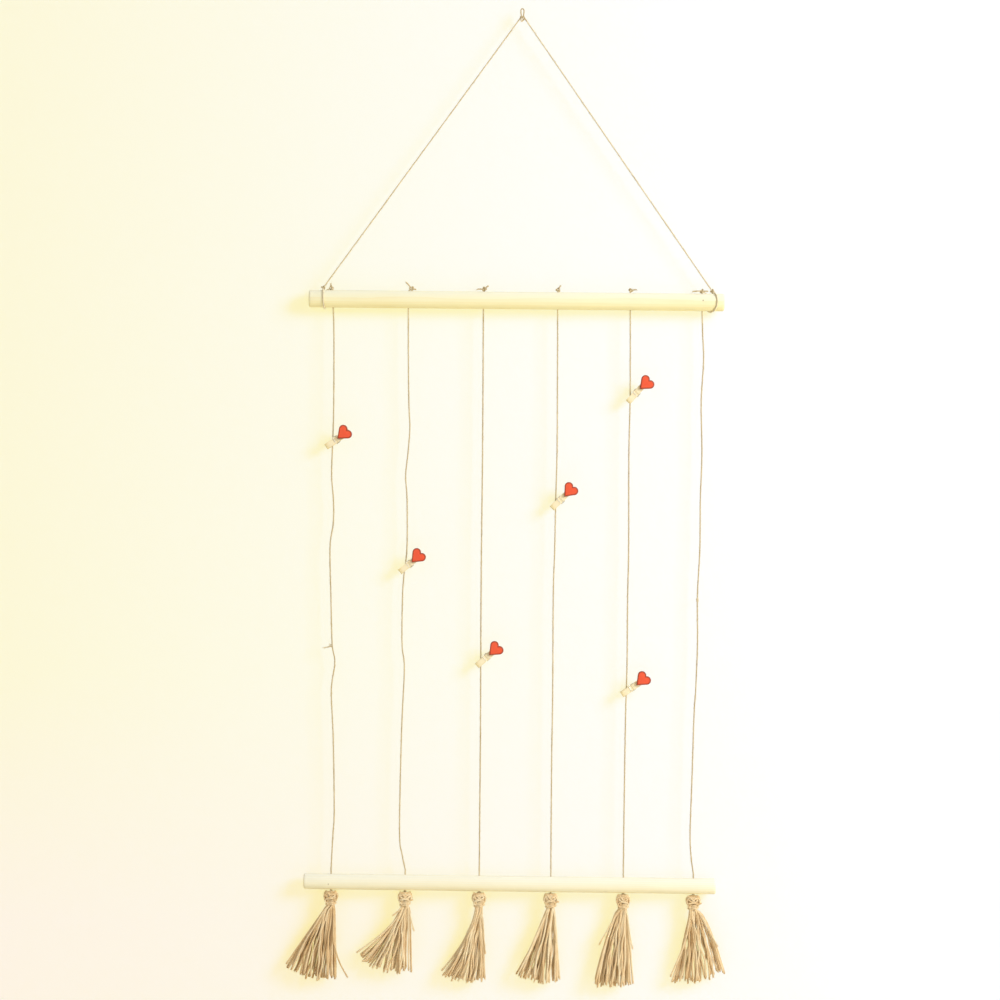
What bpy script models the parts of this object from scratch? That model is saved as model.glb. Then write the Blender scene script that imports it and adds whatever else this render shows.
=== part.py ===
"""Hanging photo display in wood and jute.

Two wooden dowels hang one above the other on a jute hanger. Six jute strings
join them, each knotted on top of the upper dowel and tied to a tassel under the
lower one. Six small wooden pegs with hearts grip the strings and hold the photos.

Metres, +Z up, -Y to the front. The origin is where the nail carries the hanger.
"""

import math

import bmesh
import bpy
from mathutils import Matrix, Vector

# Dowels: how they hang under the nail
HANG_DROP = 0.3514
DOWEL_SPACING = 0.7026
TOP_DOWEL_LENGTH = 0.500
TOP_DOWEL_DIAMETER = 0.021
TOP_DOWEL_SHIFT = -0.007
TOP_DOWEL_TILT_DEG = 0.55
BOTTOM_DOWEL_LENGTH = 0.496
BOTTOM_DOWEL_DIAMETER = 0.019
BOTTOM_DOWEL_SHIFT = -0.0155
BOTTOM_DOWEL_TILT_DEG = 0.74
DOWEL_EDGE_ROUND = 0.0022
DOWEL_SIDES = 28
TOP_HOLE_SHARES = (0.058, 0.239, 0.420, 0.599, 0.774, 0.947)
BOTTOM_HOLE_SHARES = (0.066, 0.246, 0.426, 0.600, 0.776, 0.946)

# Strings: one twine through each pair of holes
STRING_DIAMETER = 0.0016
HOLE_CLEARANCE = 0.0006
HOLE_SIDES = 12
SEAT_GAP = 0.0003
FLEX_GAP = 0.0006
STRING_LEAD = 0.006
STOPPER_DIAMETER = 0.0044
STRING_TAIL = 0.0015
KNOT_DIAMETER = 0.0050
# How a knot swells: share of its half height from its middle, then share of its thickness
KNOT_FOOT_SHARES = ((-1.0, 0.45), (-0.75, 0.8), (-0.3, 1.0))
KNOT_CROWN_SHARES = ((0.3, 1.0), (0.75, 0.8), (1.0, 0.45))
KNOT_TURN_SHARES = ((0.25, 0.95), (0.65, 0.75), (0.95, 0.4))
STRING_WANDER = 0.0070
# Each string's route: share of the free drop, then share of the widest wander sideways
STRING_ROUTE_SHARES = (
    (
        (0.043, 0.14), (0.171, 0.16), (0.230, 0.03), (0.299, -0.16),
        (0.342, 0.17), (0.384, 0.16), (0.427, -0.39), (0.512, -0.21),
        (0.598, 0.03), (0.633, 0.51), (0.683, -0.07), (0.769, 0.29),
        (0.897, 0.5), (0.940, 0.29),
    ),
    (
        (0.085, 0.06), (0.170, 0.2), (0.213, 0.39), (0.256, 0.11),
        (0.299, -0.29), (0.341, -0.03), (0.426, 0.0), (0.476, -0.49),
        (0.512, -0.71), (0.597, -0.76), (0.640, -0.33), (0.725, -0.66),
        (0.810, -0.87), (0.938, -1.0), (0.972, -0.57),
    ),
    ((0.250, 0.04), (0.500, -0.04), (0.750, 0.03)),
    (
        (0.120, 0.11), (0.254, 0.19), (0.339, 0.06), (0.424, 0.0),
        (0.508, -0.16), (0.678, -0.06), (0.805, -0.09), (0.940, -0.04),
    ),
    (
        (0.085, 0.1), (0.169, 0.16), (0.254, 0.07), (0.423, 0.23),
        (0.508, 0.16), (0.635, 0.19), (0.720, 0.06), (0.889, 0.0),
    ),
    (
        (0.042, 0.17), (0.085, 0.41), (0.127, 0.23), (0.169, 0.1),
        (0.254, 0.36), (0.338, 0.21), (0.423, 0.26), (0.507, -0.03),
        (0.592, 0.11), (0.677, -0.09), (0.719, -0.29), (0.846, -0.5),
        (0.930, -0.66), (0.973, -0.4),
    ),
)
# Tail of each knot on the top dowel: share of the longest, angle from +X, and lean to the front
KNOT_TAIL_LENGTH = 0.011
KNOT_TAIL_SHARES = (0.36, 1.0, 0.91, 0.36, 0.55, 0.91)
KNOT_TAIL_ANGLES_DEG = (120.0, 40.0, 168.0, 62.0, 12.0, 180.0)
KNOT_TAIL_LEANS_DEG = (10.0, 12.0, 15.0, -10.0, 8.0, 20.0)

# Hanger: one cord with a loop for the nail and a hitch at each end
HANGER_DIAMETER = 0.0016
LOOP_LENGTH = 0.0088
LOOP_GAP = 0.0024
LOOP_KNOT_WIDTH = 0.0066
LOOP_KNOT_HEIGHT = 0.0060
LEG_SPREAD = 0.0104
HITCH_KNOT_SIZE = 0.0050
HITCH_PITCH = 0.0030
HITCH_START_DEG = 30.0
HITCH_STEP_DEG = 20.0
LEFT_HITCH_SHARE = 0.034
RIGHT_HITCH_SHARE = 0.9715
RIGHT_HITCH_SLANT = 0.0060
HITCH_TAIL_LENGTH = 0.003

# Tassels: the head seats round the string's end, the skirt flares to one side
TASSEL_HEAD_WIDTH = 0.0165
TASSEL_NECK_DIAMETER = 0.0100
TASSEL_NECK_DROP = 0.0125
TASSEL_CLEFT_GAP = 0.0004
TASSEL_SHOULDER_SHARE = 0.55
# The head's rings, from its widest up: share of its height, of its width and of its depth
HEAD_RING_SHARES = ((0.0, 1.0, 1.0), (0.55, 0.90, 0.835), (0.90, 0.62, 0.436))
SKIRT_LENGTH = 0.090
SKIRT_DEPTH = 0.017
TUFTS_ACROSS = 8
TUFTS_DEEP = 2
TUFT_GAP = 0.0005
TUFT_FILL_SHARE = 0.80
TUFT_TIP_SHARE = 0.75
TUFT_STEPS = 4
# Each tassel's lean, half spread and drop as shares of the skirt's drop
TASSEL_LEAN_SHARES = (-0.275, -0.28, -0.21, -0.17, -0.13, 0.055)
TASSEL_SPREAD_SHARES = (0.345, 0.37, 0.30, 0.305, 0.26, 0.375)
TASSEL_LENGTH_SHARES = (1.04, 0.90, 1.02, 1.00, 1.01, 0.99)
TASSEL_BEND_SHARES = (1.0, 1.4, 1.5, 1.15, 0.7, 1.25)
TUFT_STAGGER_SHARES = (0.0, -0.04, 0.02, -0.02, 0.03, -0.05, 0.01, -0.03, 0.02, -0.01, -0.04)
TIE_DIAMETER = 0.0016
TIE_TURNS = 2.0
TIE_PITCH = 0.0022
TIE_POINTS = 14

# Pegs: two wooden levers, a coiled wire spring and a heart
PEG_LENGTH = 0.034
PEG_JAW_LENGTH = 0.016
PEG_WIDTH = 0.0070
LEVER_THICKNESS = 0.0034
HANDLE_END_THICKNESS = 0.0013
JAW_GAP = 0.0022
JAW_NOSE_CUT = 0.0008
JAW_NOTCH_PLACE = 0.0090
JAW_NOTCH_RADIUS = 0.0021
JAW_NOTCH_DEPTH = 0.0011
HANDLE_BEVEL_START = 0.0036
WIRE_GROOVE_PLACE = 0.0022
WIRE_GROOVE_RADIUS = 0.0036
WIRE_GROOVE_DEPTH = 0.0008
WIRE_DIAMETER = 0.0009
COIL_MEAN_RADIUS = 0.00185
COIL_FULL_TURNS = 4
COIL_POINTS = 8
COIL_CLEARANCE = 0.0003
ARM_CLEARANCE = 0.00025
ARM_REACH = 0.0036
ARM_BEND_RADIUS = 0.0009
ARM_END_INSET = 0.0006
HEART_LOBE_RADIUS = 0.0051
HEART_LOBE_OFFSET = 0.00415
HEART_HEIGHT = 0.0180
HEART_THICKNESS = 0.0030
HEART_EDGE_ROUND = 0.0009
HEART_LOBE_STEPS = 7
# Each peg: its string, share of the free drop, slant, grip depth, heart place and heart turn
PEG_STRINGS = (0, 1, 2, 3, 4, 4)
PEG_DROP_SHARES = (0.2405, 0.4624, 0.6295, 0.3471, 0.1593, 0.6782)
PEG_SLANTS_DEG = (34.0, 39.0, 41.0, 44.0, 48.0, 34.0)
PEG_GRIP_SHARES = (0.28, 0.23, 0.18, 0.19, 0.11, 0.20)
HEART_PLACE_SHARES = (0.495, 0.543, 0.575, 0.61, 0.61, 0.625)
HEART_TURNS_DEG = (7.0, 6.0, 3.0, 4.0, -6.0, 9.0)



def clear_scene():
    for thing in list(bpy.data.objects):
        bpy.data.objects.remove(thing, do_unlink=True)


def material(name, colour, roughness, metallic=0.0):
    made = bpy.data.materials.new(name)
    made.use_nodes = True
    shader = made.node_tree.nodes["Principled BSDF"]
    shader.inputs["Base Color"].default_value = (*colour, 1.0)
    shader.inputs["Roughness"].default_value = roughness
    shader.inputs["Metallic"].default_value = metallic
    return made


def place(thing, name, finish, parent=None):
    """Gives the object its name and finish, links it and hangs it on its parent."""
    thing.name = name
    thing.data.materials.append(finish)
    bpy.context.scene.collection.objects.link(thing)
    thing.parent = parent
    return thing


def empty(name, matrix):
    marker = bpy.data.objects.new(name, None)
    marker.matrix_world = matrix
    bpy.context.scene.collection.objects.link(marker)
    return marker


def mesh_object(bm, smooth_deg=None):
    """A new object holding the bmesh, with its faces out."""
    bmesh.ops.recalc_face_normals(bm, faces=bm.faces)
    mesh = bpy.data.meshes.new("mesh")
    bm.to_mesh(mesh)
    bm.free()
    if smooth_deg is not None:
        mesh.shade_smooth()
        mesh.set_sharp_from_angle(angle=math.radians(smooth_deg))
    return bpy.data.objects.new("object", mesh)


def cutter(thing, name, target, operation="DIFFERENCE"):
    """Makes thing a hidden helper that cuts or joins target."""
    thing.name = name
    thing.hide_render = True
    thing.display_type = "WIRE"
    bpy.context.scene.collection.objects.link(thing)
    thing.parent = target
    change = target.modifiers.new(name, "BOOLEAN")
    change.operation = operation
    change.solver = "EXACT"
    change.object = thing


def cord_curve(points, diameter, resolution, swells=None):
    """A round cord along the points; swells are its thicknesses in diameters."""
    curve = bpy.data.curves.new("cord", "CURVE")
    curve.dimensions = "3D"
    curve.bevel_depth = diameter / 2
    curve.bevel_resolution = resolution
    curve.use_fill_caps = True
    line = curve.splines.new("POLY")
    line.points.add(len(points) - 1)
    for i, point in enumerate(points):
        line.points[i].co = (*point, 1.0)
        line.points[i].radius = swells[i] if swells else 1.0
    return bpy.data.objects.new("cord", curve)


def smooth_route(points, count):
    """Points at even steps along a Catmull-Rom curve through the route's own points."""
    ends = [points[0] * 2 - points[1], *points, points[-1] * 2 - points[-2]]
    fine = []
    per_span = 12
    for before, start, end, after in zip(ends, ends[1:], ends[2:], ends[3:]):
        for step in range(per_span):
            t = step / per_span
            bend = (
                start * 2
                + (end - before) * t
                + (before * 2 - start * 5 + end * 4 - after) * t**2
                + (start * 3 - before - end * 3 + after) * t**3
            )
            fine.append(bend / 2)
    fine.append(points[-1])
    lengths = [0.0]
    for a, b in zip(fine, fine[1:]):
        lengths.append(lengths[-1] + (b - a).length)
    route = []
    at = 0
    for step in range(count):
        wanted = lengths[-1] * step / (count - 1)
        while at < len(lengths) - 2 and lengths[at + 1] < wanted:
            at += 1
        share = (wanted - lengths[at]) / (lengths[at + 1] - lengths[at])
        route.append(fine[at].lerp(fine[at + 1], share))
    return route


def least_gap(points, diameter, apart):
    """The smallest gap between stretches of a cord that are more than apart along it."""
    along = [0.0]
    for a, b in zip(points, points[1:]):
        along.append(along[-1] + (b - a).length)
    gaps = [
        (points[i] - points[j]).length - diameter
        for i in range(len(points))
        for j in range(i)
        if along[i] - along[j] > apart
    ]
    return min(gaps)


def dowel_matrix(side, drop, tilt_deg):
    return Matrix.Translation((side, 0, -drop)) @ Matrix.Rotation(math.radians(tilt_deg), 4, "Y")


def make_dowel(name, length, diameter, matrix, hole_shares, finish):
    """A turned rod with rounded ends and a row of upright string holes."""
    bm = bmesh.new()
    radius = diameter / 2
    bmesh.ops.create_cone(
        bm, cap_ends=True, segments=DOWEL_SIDES, radius1=radius, radius2=radius, depth=length
    )
    rims = [e for e in bm.edges if abs(e.verts[0].co.z - e.verts[1].co.z) < DOWEL_EDGE_ROUND]
    bmesh.ops.bevel(
        bm, geom=rims, offset=DOWEL_EDGE_ROUND, segments=3, profile=0.5, affect="EDGES"
    )
    bmesh.ops.rotate(bm, verts=bm.verts, matrix=Matrix.Rotation(math.radians(90), 3, "Y"))
    rod = place(mesh_object(bm, smooth_deg=35), name, finish)
    rod.matrix_world = matrix

    holes = bmesh.new()
    hole_radius = STRING_DIAMETER / 2 + HOLE_CLEARANCE
    for share in hole_shares:
        bmesh.ops.create_cone(
            holes, cap_ends=True, segments=HOLE_SIDES, radius1=hole_radius, radius2=hole_radius,
            depth=diameter * 2, matrix=Matrix.Translation((length * (share - 1 / 2), 0, 0)),
        )
    cutter(mesh_object(holes), name + "_holes", rod)
    return rod


def hole_place(matrix, length, share, height):
    """A world point on a string hole's centre line, at a height above the dowel's axis."""
    return matrix @ Vector((length * (share - 1 / 2), 0, height))


def string_ends(index):
    """Where string number index leaves the top dowel, and its stops at the bottom one."""
    top = dowel_matrix(TOP_DOWEL_SHIFT, HANG_DROP, TOP_DOWEL_TILT_DEG)
    bottom = dowel_matrix(BOTTOM_DOWEL_SHIFT, HANG_DROP + DOWEL_SPACING, BOTTOM_DOWEL_TILT_DEG)
    radius = BOTTOM_DOWEL_DIAMETER / 2
    share = BOTTOM_HOLE_SHARES[index]
    stopper = radius + SEAT_GAP + STOPPER_DIAMETER / 2
    end = stopper + STOPPER_DIAMETER / 2 + STRING_TAIL
    return (
        hole_place(top, TOP_DOWEL_LENGTH, TOP_HOLE_SHARES[index], -TOP_DOWEL_DIAMETER / 2),
        hole_place(bottom, BOTTOM_DOWEL_LENGTH, share, radius),
        hole_place(bottom, BOTTOM_DOWEL_LENGTH, share, -stopper),
        hole_place(bottom, BOTTOM_DOWEL_LENGTH, share, -end),
    )


def string_route(index):
    """The free stretch of a string, from the top dowel down to the bottom one."""
    start, landing, _, _ = string_ends(index)
    lead = landing + Vector((0, 0, STRING_LEAD))
    waves = [
        start.lerp(lead, share) + Vector((stray * STRING_WANDER, 0, 0))
        for share, stray in STRING_ROUTE_SHARES[index]
    ]
    return [start, *waves, lead]


def make_string(index, finish):
    """The hanging twine, its lead through the bottom hole, and the knot that carries the dowel."""
    route = string_route(index)
    points = smooth_route(route, 2 * len(route) + 1)
    _, landing, stopper, end = string_ends(index)
    down = (end - landing).normalized()
    bulge = STOPPER_DIAMETER / 2
    swell = STOPPER_DIAMETER / STRING_DIAMETER
    swells = [1.0] * len(points)
    points.append(landing.lerp(stopper, 0.5))
    swells.append(1.0)
    for rise, share in KNOT_FOOT_SHARES + KNOT_CROWN_SHARES:
        points.append(stopper + down * bulge * rise)
        swells.append(swell * share)
    points.append(end)
    swells.append(1.0)
    return place(cord_curve(points, STRING_DIAMETER, 2, swells), f"string_{index + 1}", finish)


def make_string_knot(index, finish):
    """The string's start in the top hole, the stopper knot above it and the knot's tail."""
    matrix = dowel_matrix(TOP_DOWEL_SHIFT, HANG_DROP, TOP_DOWEL_TILT_DEG)
    radius = TOP_DOWEL_DIAMETER / 2
    bulge = KNOT_DIAMETER / 2
    share = TOP_HOLE_SHARES[index]
    knot = radius + SEAT_GAP + bulge
    foot = hole_place(matrix, TOP_DOWEL_LENGTH, share, FLEX_GAP - radius)
    middle = hole_place(matrix, TOP_DOWEL_LENGTH, share, knot)
    up = (middle - foot).normalized()
    swell = KNOT_DIAMETER / STRING_DIAMETER
    points = [foot]
    swells = [1.0]
    angle = math.radians(KNOT_TAIL_ANGLES_DEG[index])
    lean = math.radians(KNOT_TAIL_LEANS_DEG[index])
    tail = Vector((math.cos(angle) * math.cos(lean), -math.sin(lean), math.sin(angle) * math.cos(lean)))
    for rise, size in KNOT_FOOT_SHARES:
        points.append(middle + up * bulge * rise)
        swells.append(swell * size)
    for rise, size in KNOT_TURN_SHARES:
        points.append(middle + (up * (1 - rise) + tail * rise) * bulge * rise)
        swells.append(swell * size)
    reach = KNOT_TAIL_SHARES[index] * KNOT_TAIL_LENGTH
    points.append(middle + tail * (bulge + reach / 2))
    points.append(middle + tail * (bulge + reach))
    swells += [1.0, 1.0]
    return place(cord_curve(points, STRING_DIAMETER, 2, swells), f"string_knot_{index + 1}", finish)


def hitch_points(share, slant, side):
    """One turn of the hanger round the top dowel, from the knot on top and back beside it.

    side is -1 at the left end and +1 at the right; slant swings the turn along the dowel.
    """
    matrix = dowel_matrix(TOP_DOWEL_SHIFT, HANG_DROP, TOP_DOWEL_TILT_DEG)
    radius = (TOP_DOWEL_DIAMETER + HANGER_DIAMETER) / 2 + SEAT_GAP
    turn = 360.0 - 2 * HITCH_START_DEG
    steps = round(turn / HITCH_STEP_DEG)
    points = []
    for step in range(steps + 1):
        angle = math.radians(HITCH_START_DEG + turn * step / steps)
        along = slant * math.sin(angle) - side * HITCH_PITCH * step / steps
        centre = Vector((TOP_DOWEL_LENGTH * (share - 1 / 2) + along, 0, 0))
        points.append(matrix @ (centre + Vector((0, -math.sin(angle), math.cos(angle))) * radius))
    tail_rise = Vector((-side * HITCH_TAIL_LENGTH / 2, -HITCH_PITCH, HITCH_PITCH / 2))
    points.append(points[-1] + tail_rise)
    points.append(points[-1] + Vector((-side * HITCH_TAIL_LENGTH / 2, 0, 0)))
    return points


def hitch_knot(share):
    """The centre of a hitch's knot, seated on top of the top dowel."""
    matrix = dowel_matrix(TOP_DOWEL_SHIFT, HANG_DROP, TOP_DOWEL_TILT_DEG)
    height = (TOP_DOWEL_DIAMETER + HITCH_KNOT_SIZE) / 2 + SEAT_GAP
    return matrix @ Vector((TOP_DOWEL_LENGTH * (share - 1 / 2), 0, height))


def loop_points():
    """The loop that hangs on the nail, from the left leg's side to the right leg's."""
    half = (LOOP_GAP + HANGER_DIAMETER) / 2
    crown = Vector((0, 0, HANGER_DIAMETER / 2 - half))
    points = [Vector((-half / 2, 0, -LOOP_LENGTH)), Vector((-half, 0, -LOOP_LENGTH / 2))]
    for step in range(7):
        angle = math.radians(180.0 - 30.0 * step)
        points.append(crown + Vector((math.cos(angle), 0, math.sin(angle))) * half)
    points += [Vector((half, 0, -LOOP_LENGTH / 2)), Vector((half / 2, 0, -LOOP_LENGTH))]
    return points


def knot_lump(centre, width, height):
    bm = bmesh.new()
    size = Matrix.Diagonal((width, width, height, 1))
    bmesh.ops.create_icosphere(
        bm, subdivisions=2, radius=0.5, matrix=Matrix.Translation(centre) @ size
    )
    return mesh_object(bm)


def make_hanger(finish):
    """The hanger cord, whole from one hitch to the other, with its three knots joined on."""
    left = hitch_knot(LEFT_HITCH_SHARE)
    right = hitch_knot(RIGHT_HITCH_SHARE)
    loop = loop_points()
    knot = Vector((0, 0, -LOOP_LENGTH - LOOP_KNOT_HEIGHT / 2))
    throat = Vector((LEG_SPREAD / 2, 0, -LOOP_KNOT_HEIGHT / 2))
    points = list(reversed(hitch_points(LEFT_HITCH_SHARE, 0.0, -1)))
    points.append(left)
    leave_left = knot + Vector((-throat.x, 0, throat.z))
    leave_right = knot + throat
    points += [left.lerp(leave_left, share) for share in (0.04, 0.35, 0.65)]
    points.append(leave_left)
    points += loop
    points.append(leave_right)
    points += [leave_right.lerp(right, share) for share in (0.35, 0.65, 0.96)]
    points.append(right)
    points += hitch_points(RIGHT_HITCH_SHARE, RIGHT_HITCH_SLANT, 1)
    curve = cord_curve(points, HANGER_DIAMETER, 2)
    bpy.context.scene.collection.objects.link(curve)
    shape = bpy.data.meshes.new_from_object(
        curve.evaluated_get(bpy.context.evaluated_depsgraph_get())
    )
    bpy.data.objects.remove(curve)
    bm = bmesh.new()
    bm.from_mesh(shape)
    bmesh.ops.remove_doubles(bm, verts=bm.verts, dist=HANGER_DIAMETER * 0.001)
    cord = place(mesh_object(bm, smooth_deg=60), "hanger_cord", finish)
    lumps = (
        (knot, LOOP_KNOT_WIDTH, LOOP_KNOT_HEIGHT, "loop_knot"),
        (left, HITCH_KNOT_SIZE, HITCH_KNOT_SIZE, "left_knot"),
        (right, HITCH_KNOT_SIZE, HITCH_KNOT_SIZE, "right_knot"),
    )
    for centre, width, height, name in lumps:
        cutter(knot_lump(centre, width, height), name, cord, "UNION")
    return cord


def on_disc(a, b):
    """A place in a square, each side from -1 to 1, moved to the same place in a round disc."""
    return Vector((a * math.sqrt(1 - b * b / 2), b * math.sqrt(1 - a * a / 2), 0))


def make_tassel(index, finish):
    """A tassel: a round head with a cleft for the string's knot, a neck and a flared skirt.

    The origin is the string's end, which the tassel swings about.
    """
    radius = BOTTOM_DOWEL_DIAMETER / 2
    _, landing, _, end = string_ends(index)
    head_radius = (landing - end).length - radius * 2 - SEAT_GAP
    neck = TASSEL_NECK_DIAMETER / 2
    half_width = TASSEL_HEAD_WIDTH / 2
    bm = bmesh.new()
    spots = {}
    for i in range(TUFTS_ACROSS + 1):
        for j in range(TUFTS_DEEP + 1):
            a, b = 2 * i / TUFTS_ACROSS - 1, 2 * j / TUFTS_DEEP - 1
            spots[i, j] = bm.verts.new(on_disc(a, b) * neck + Vector((0, 0, -TASSEL_NECK_DROP)))
    roots = []
    for i in range(TUFTS_ACROSS):
        for j in range(TUFTS_DEEP):
            corners = spots[i, j], spots[i, j + 1], spots[i + 1, j + 1], spots[i + 1, j]
            roots.append(bm.faces.new(corners))

    rim = [e for e in bm.edges if e.is_boundary]
    shoulder = TASSEL_SHOULDER_SHARE * TASSEL_NECK_DROP
    rings = [(-shoulder, neck, neck), (-shoulder / 2, (neck + half_width) / 2, head_radius)]
    for high, wide, deep in HEAD_RING_SHARES:
        rings.append((high * head_radius, wide * half_width, deep * head_radius))
    level = -TASSEL_NECK_DROP
    across, deep = neck, neck
    for height, width, depth in rings:
        made = bmesh.ops.extrude_edge_only(bm, edges=rim)["geom"]
        for vert in [v for v in made if isinstance(v, bmesh.types.BMVert)]:
            vert.co.x *= width / across
            vert.co.y *= depth / deep
            vert.co.z += height - level
        rim = [e for e in made if isinstance(e, bmesh.types.BMEdge)]
        level, across, deep = height, width, depth
    bmesh.ops.edgeloop_fill(bm, edges=rim)

    lean = TASSEL_LEAN_SHARES[index] * SKIRT_LENGTH
    spread = TASSEL_SPREAD_SHARES[index] * SKIRT_LENGTH
    length = TASSEL_LENGTH_SHARES[index] * SKIRT_LENGTH
    tip_width = spread * 2 / TUFTS_ACROSS
    tip_depth = SKIRT_DEPTH / TUFTS_DEEP
    bmesh.ops.inset_individual(bm, faces=roots, thickness=TUFT_GAP / 2, use_even_offset=True)
    for number, root in enumerate(roots):
        i, j = divmod(number, TUFTS_DEEP)
        start = root.calc_center_median()
        sides = [v.co - start for v in root.verts]
        wide = max(s.x for s in sides)
        thick = max(s.y for s in sides)
        stagger = TUFT_STAGGER_SHARES[(number + index * TUFTS_ACROSS) % len(TUFT_STAGGER_SHARES)]
        aside = lean + (i + 1 / 2) * tip_width - spread
        drop = math.sqrt((length * (1 + stagger)) ** 2 - aside**2)
        tip = Vector((aside, (j + 1 / 2) * tip_depth - SKIRT_DEPTH / 2, -TASSEL_NECK_DROP - drop))
        face = root
        for step in range(1, TUFT_STEPS + 1):
            share = step / TUFT_STEPS
            flare = share ** TASSEL_BEND_SHARES[index]
            centre = start.lerp(tip, flare)
            centre.z = start.z + (tip.z - start.z) * share
            pinch = TUFT_TIP_SHARE if step == TUFT_STEPS else 1.0
            grow_x = 1 + (tip_width / 2 * TUFT_FILL_SHARE / wide - 1) * flare
            grow_y = 1 + (tip_depth / 2 * TUFT_FILL_SHARE / thick - 1) * flare
            face = bmesh.ops.extrude_discrete_faces(bm, faces=[face])["faces"][0]
            for vert, side in zip(face.verts, sides):
                vert.co = centre + Vector((side.x * grow_x, side.y * grow_y, 0)) * pinch
    tassel = place(mesh_object(bm, smooth_deg=40), f"tassel_{index + 1}", finish)
    tassel.location = end

    cleft = bmesh.new()
    width = STOPPER_DIAMETER + 2 * TASSEL_CLEFT_GAP
    floor = -(STRING_DIAMETER / 2 + TASSEL_CLEFT_GAP)
    height = head_radius * 2
    size = Matrix.Diagonal((width, TASSEL_HEAD_WIDTH * 2, height, 1))
    middle = Matrix.Translation((0, 0, floor + height / 2))
    bmesh.ops.create_cube(cleft, size=1, matrix=middle @ size)
    cutter(mesh_object(cleft), f"tassel_{index + 1}_cleft", tassel)
    return tassel


def make_tie(index, tassel, finish):
    """The twine wound round the tassel's neck."""
    radius = (TASSEL_NECK_DIAMETER + TIE_DIAMETER) / 2 + SEAT_GAP
    height = TIE_TURNS * TIE_PITCH
    top = (height - (1 + TASSEL_SHOULDER_SHARE) * TASSEL_NECK_DROP) / 2
    steps = round(TIE_TURNS * TIE_POINTS)
    points = []
    for step in range(steps + 1):
        angle = math.tau * TIE_TURNS * step / steps
        points.append(
            Vector(
                (radius * math.sin(angle), -radius * math.cos(angle), top - height * step / steps)
            )
        )
    if index == 0:
        gap = least_gap(points, TIE_DIAMETER, radius * math.pi)
        print(f"tie: least gap to itself {gap * 1000:.2f} mm")
    return place(
        cord_curve(points, TIE_DIAMETER, 1), f"tassel_{index + 1}_tie", finish, parent=tassel
    )


def arc(centre, radius, start_deg, end_deg, steps):
    """Points on a round stretch of an outline, both ends included."""
    turn = (end_deg - start_deg) / steps
    angles = [math.radians(start_deg + turn * step) for step in range(steps + 1)]
    return [
        (centre[0] + radius * math.cos(a), centre[1] + radius * math.sin(a)) for a in angles
    ]


def lever_outline():
    """The side view of a lever behind the string: X runs to the handle, Y to the back."""
    inner = JAW_GAP / 2
    outer = inner + LEVER_THICKNESS
    tail = PEG_LENGTH - PEG_JAW_LENGTH
    notch_dip = JAW_NOTCH_RADIUS - JAW_NOTCH_DEPTH
    notch_deg = math.degrees(math.asin(notch_dip / JAW_NOTCH_RADIUS))
    seat = COIL_MEAN_RADIUS + WIRE_DIAMETER / 2 + COIL_CLEARANCE
    seat_deg = math.degrees(math.asin(inner / seat))
    groove_rise = WIRE_GROOVE_RADIUS - WIRE_GROOVE_DEPTH
    groove_deg = math.degrees(math.asin(groove_rise / WIRE_GROOVE_RADIUS))
    return [
        (-PEG_JAW_LENGTH, inner),
        *arc((-JAW_NOTCH_PLACE, inner - notch_dip), JAW_NOTCH_RADIUS, 180 - notch_deg, notch_deg, 4),
        *arc((0, 0), seat, 180 - seat_deg, seat_deg, 6),
        (HANDLE_BEVEL_START, inner),
        (tail, outer - HANDLE_END_THICKNESS),
        (tail, outer),
        *arc(
            (-WIRE_GROOVE_PLACE, outer + groove_rise), WIRE_GROOVE_RADIUS, -groove_deg,
            groove_deg - 180, 4,
        ),
        (-PEG_JAW_LENGTH + JAW_NOSE_CUT, outer),
        (-PEG_JAW_LENGTH, outer - JAW_NOSE_CUT),
    ]


def prism(outline, low, high):
    """A bmesh of the outline in the XY plane, extruded along Z from low to high."""
    bm = bmesh.new()
    face = bm.faces.new([bm.verts.new((x, y, low)) for x, y in outline])
    grown = bmesh.ops.extrude_face_region(bm, geom=[face])["geom"]
    top = [v for v in grown if isinstance(v, bmesh.types.BMVert)]
    bmesh.ops.translate(bm, verts=top, vec=(0, 0, high - low))
    return bm


def make_lever(name, side, finish, parent):
    """One half of a peg; side is 1 behind the string and -1 in front of it."""
    outline = [(x, y * side) for x, y in lever_outline()]
    bm = prism(outline, -PEG_WIDTH / 2, PEG_WIDTH / 2)
    return place(mesh_object(bm, smooth_deg=25), name, finish, parent)


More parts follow.
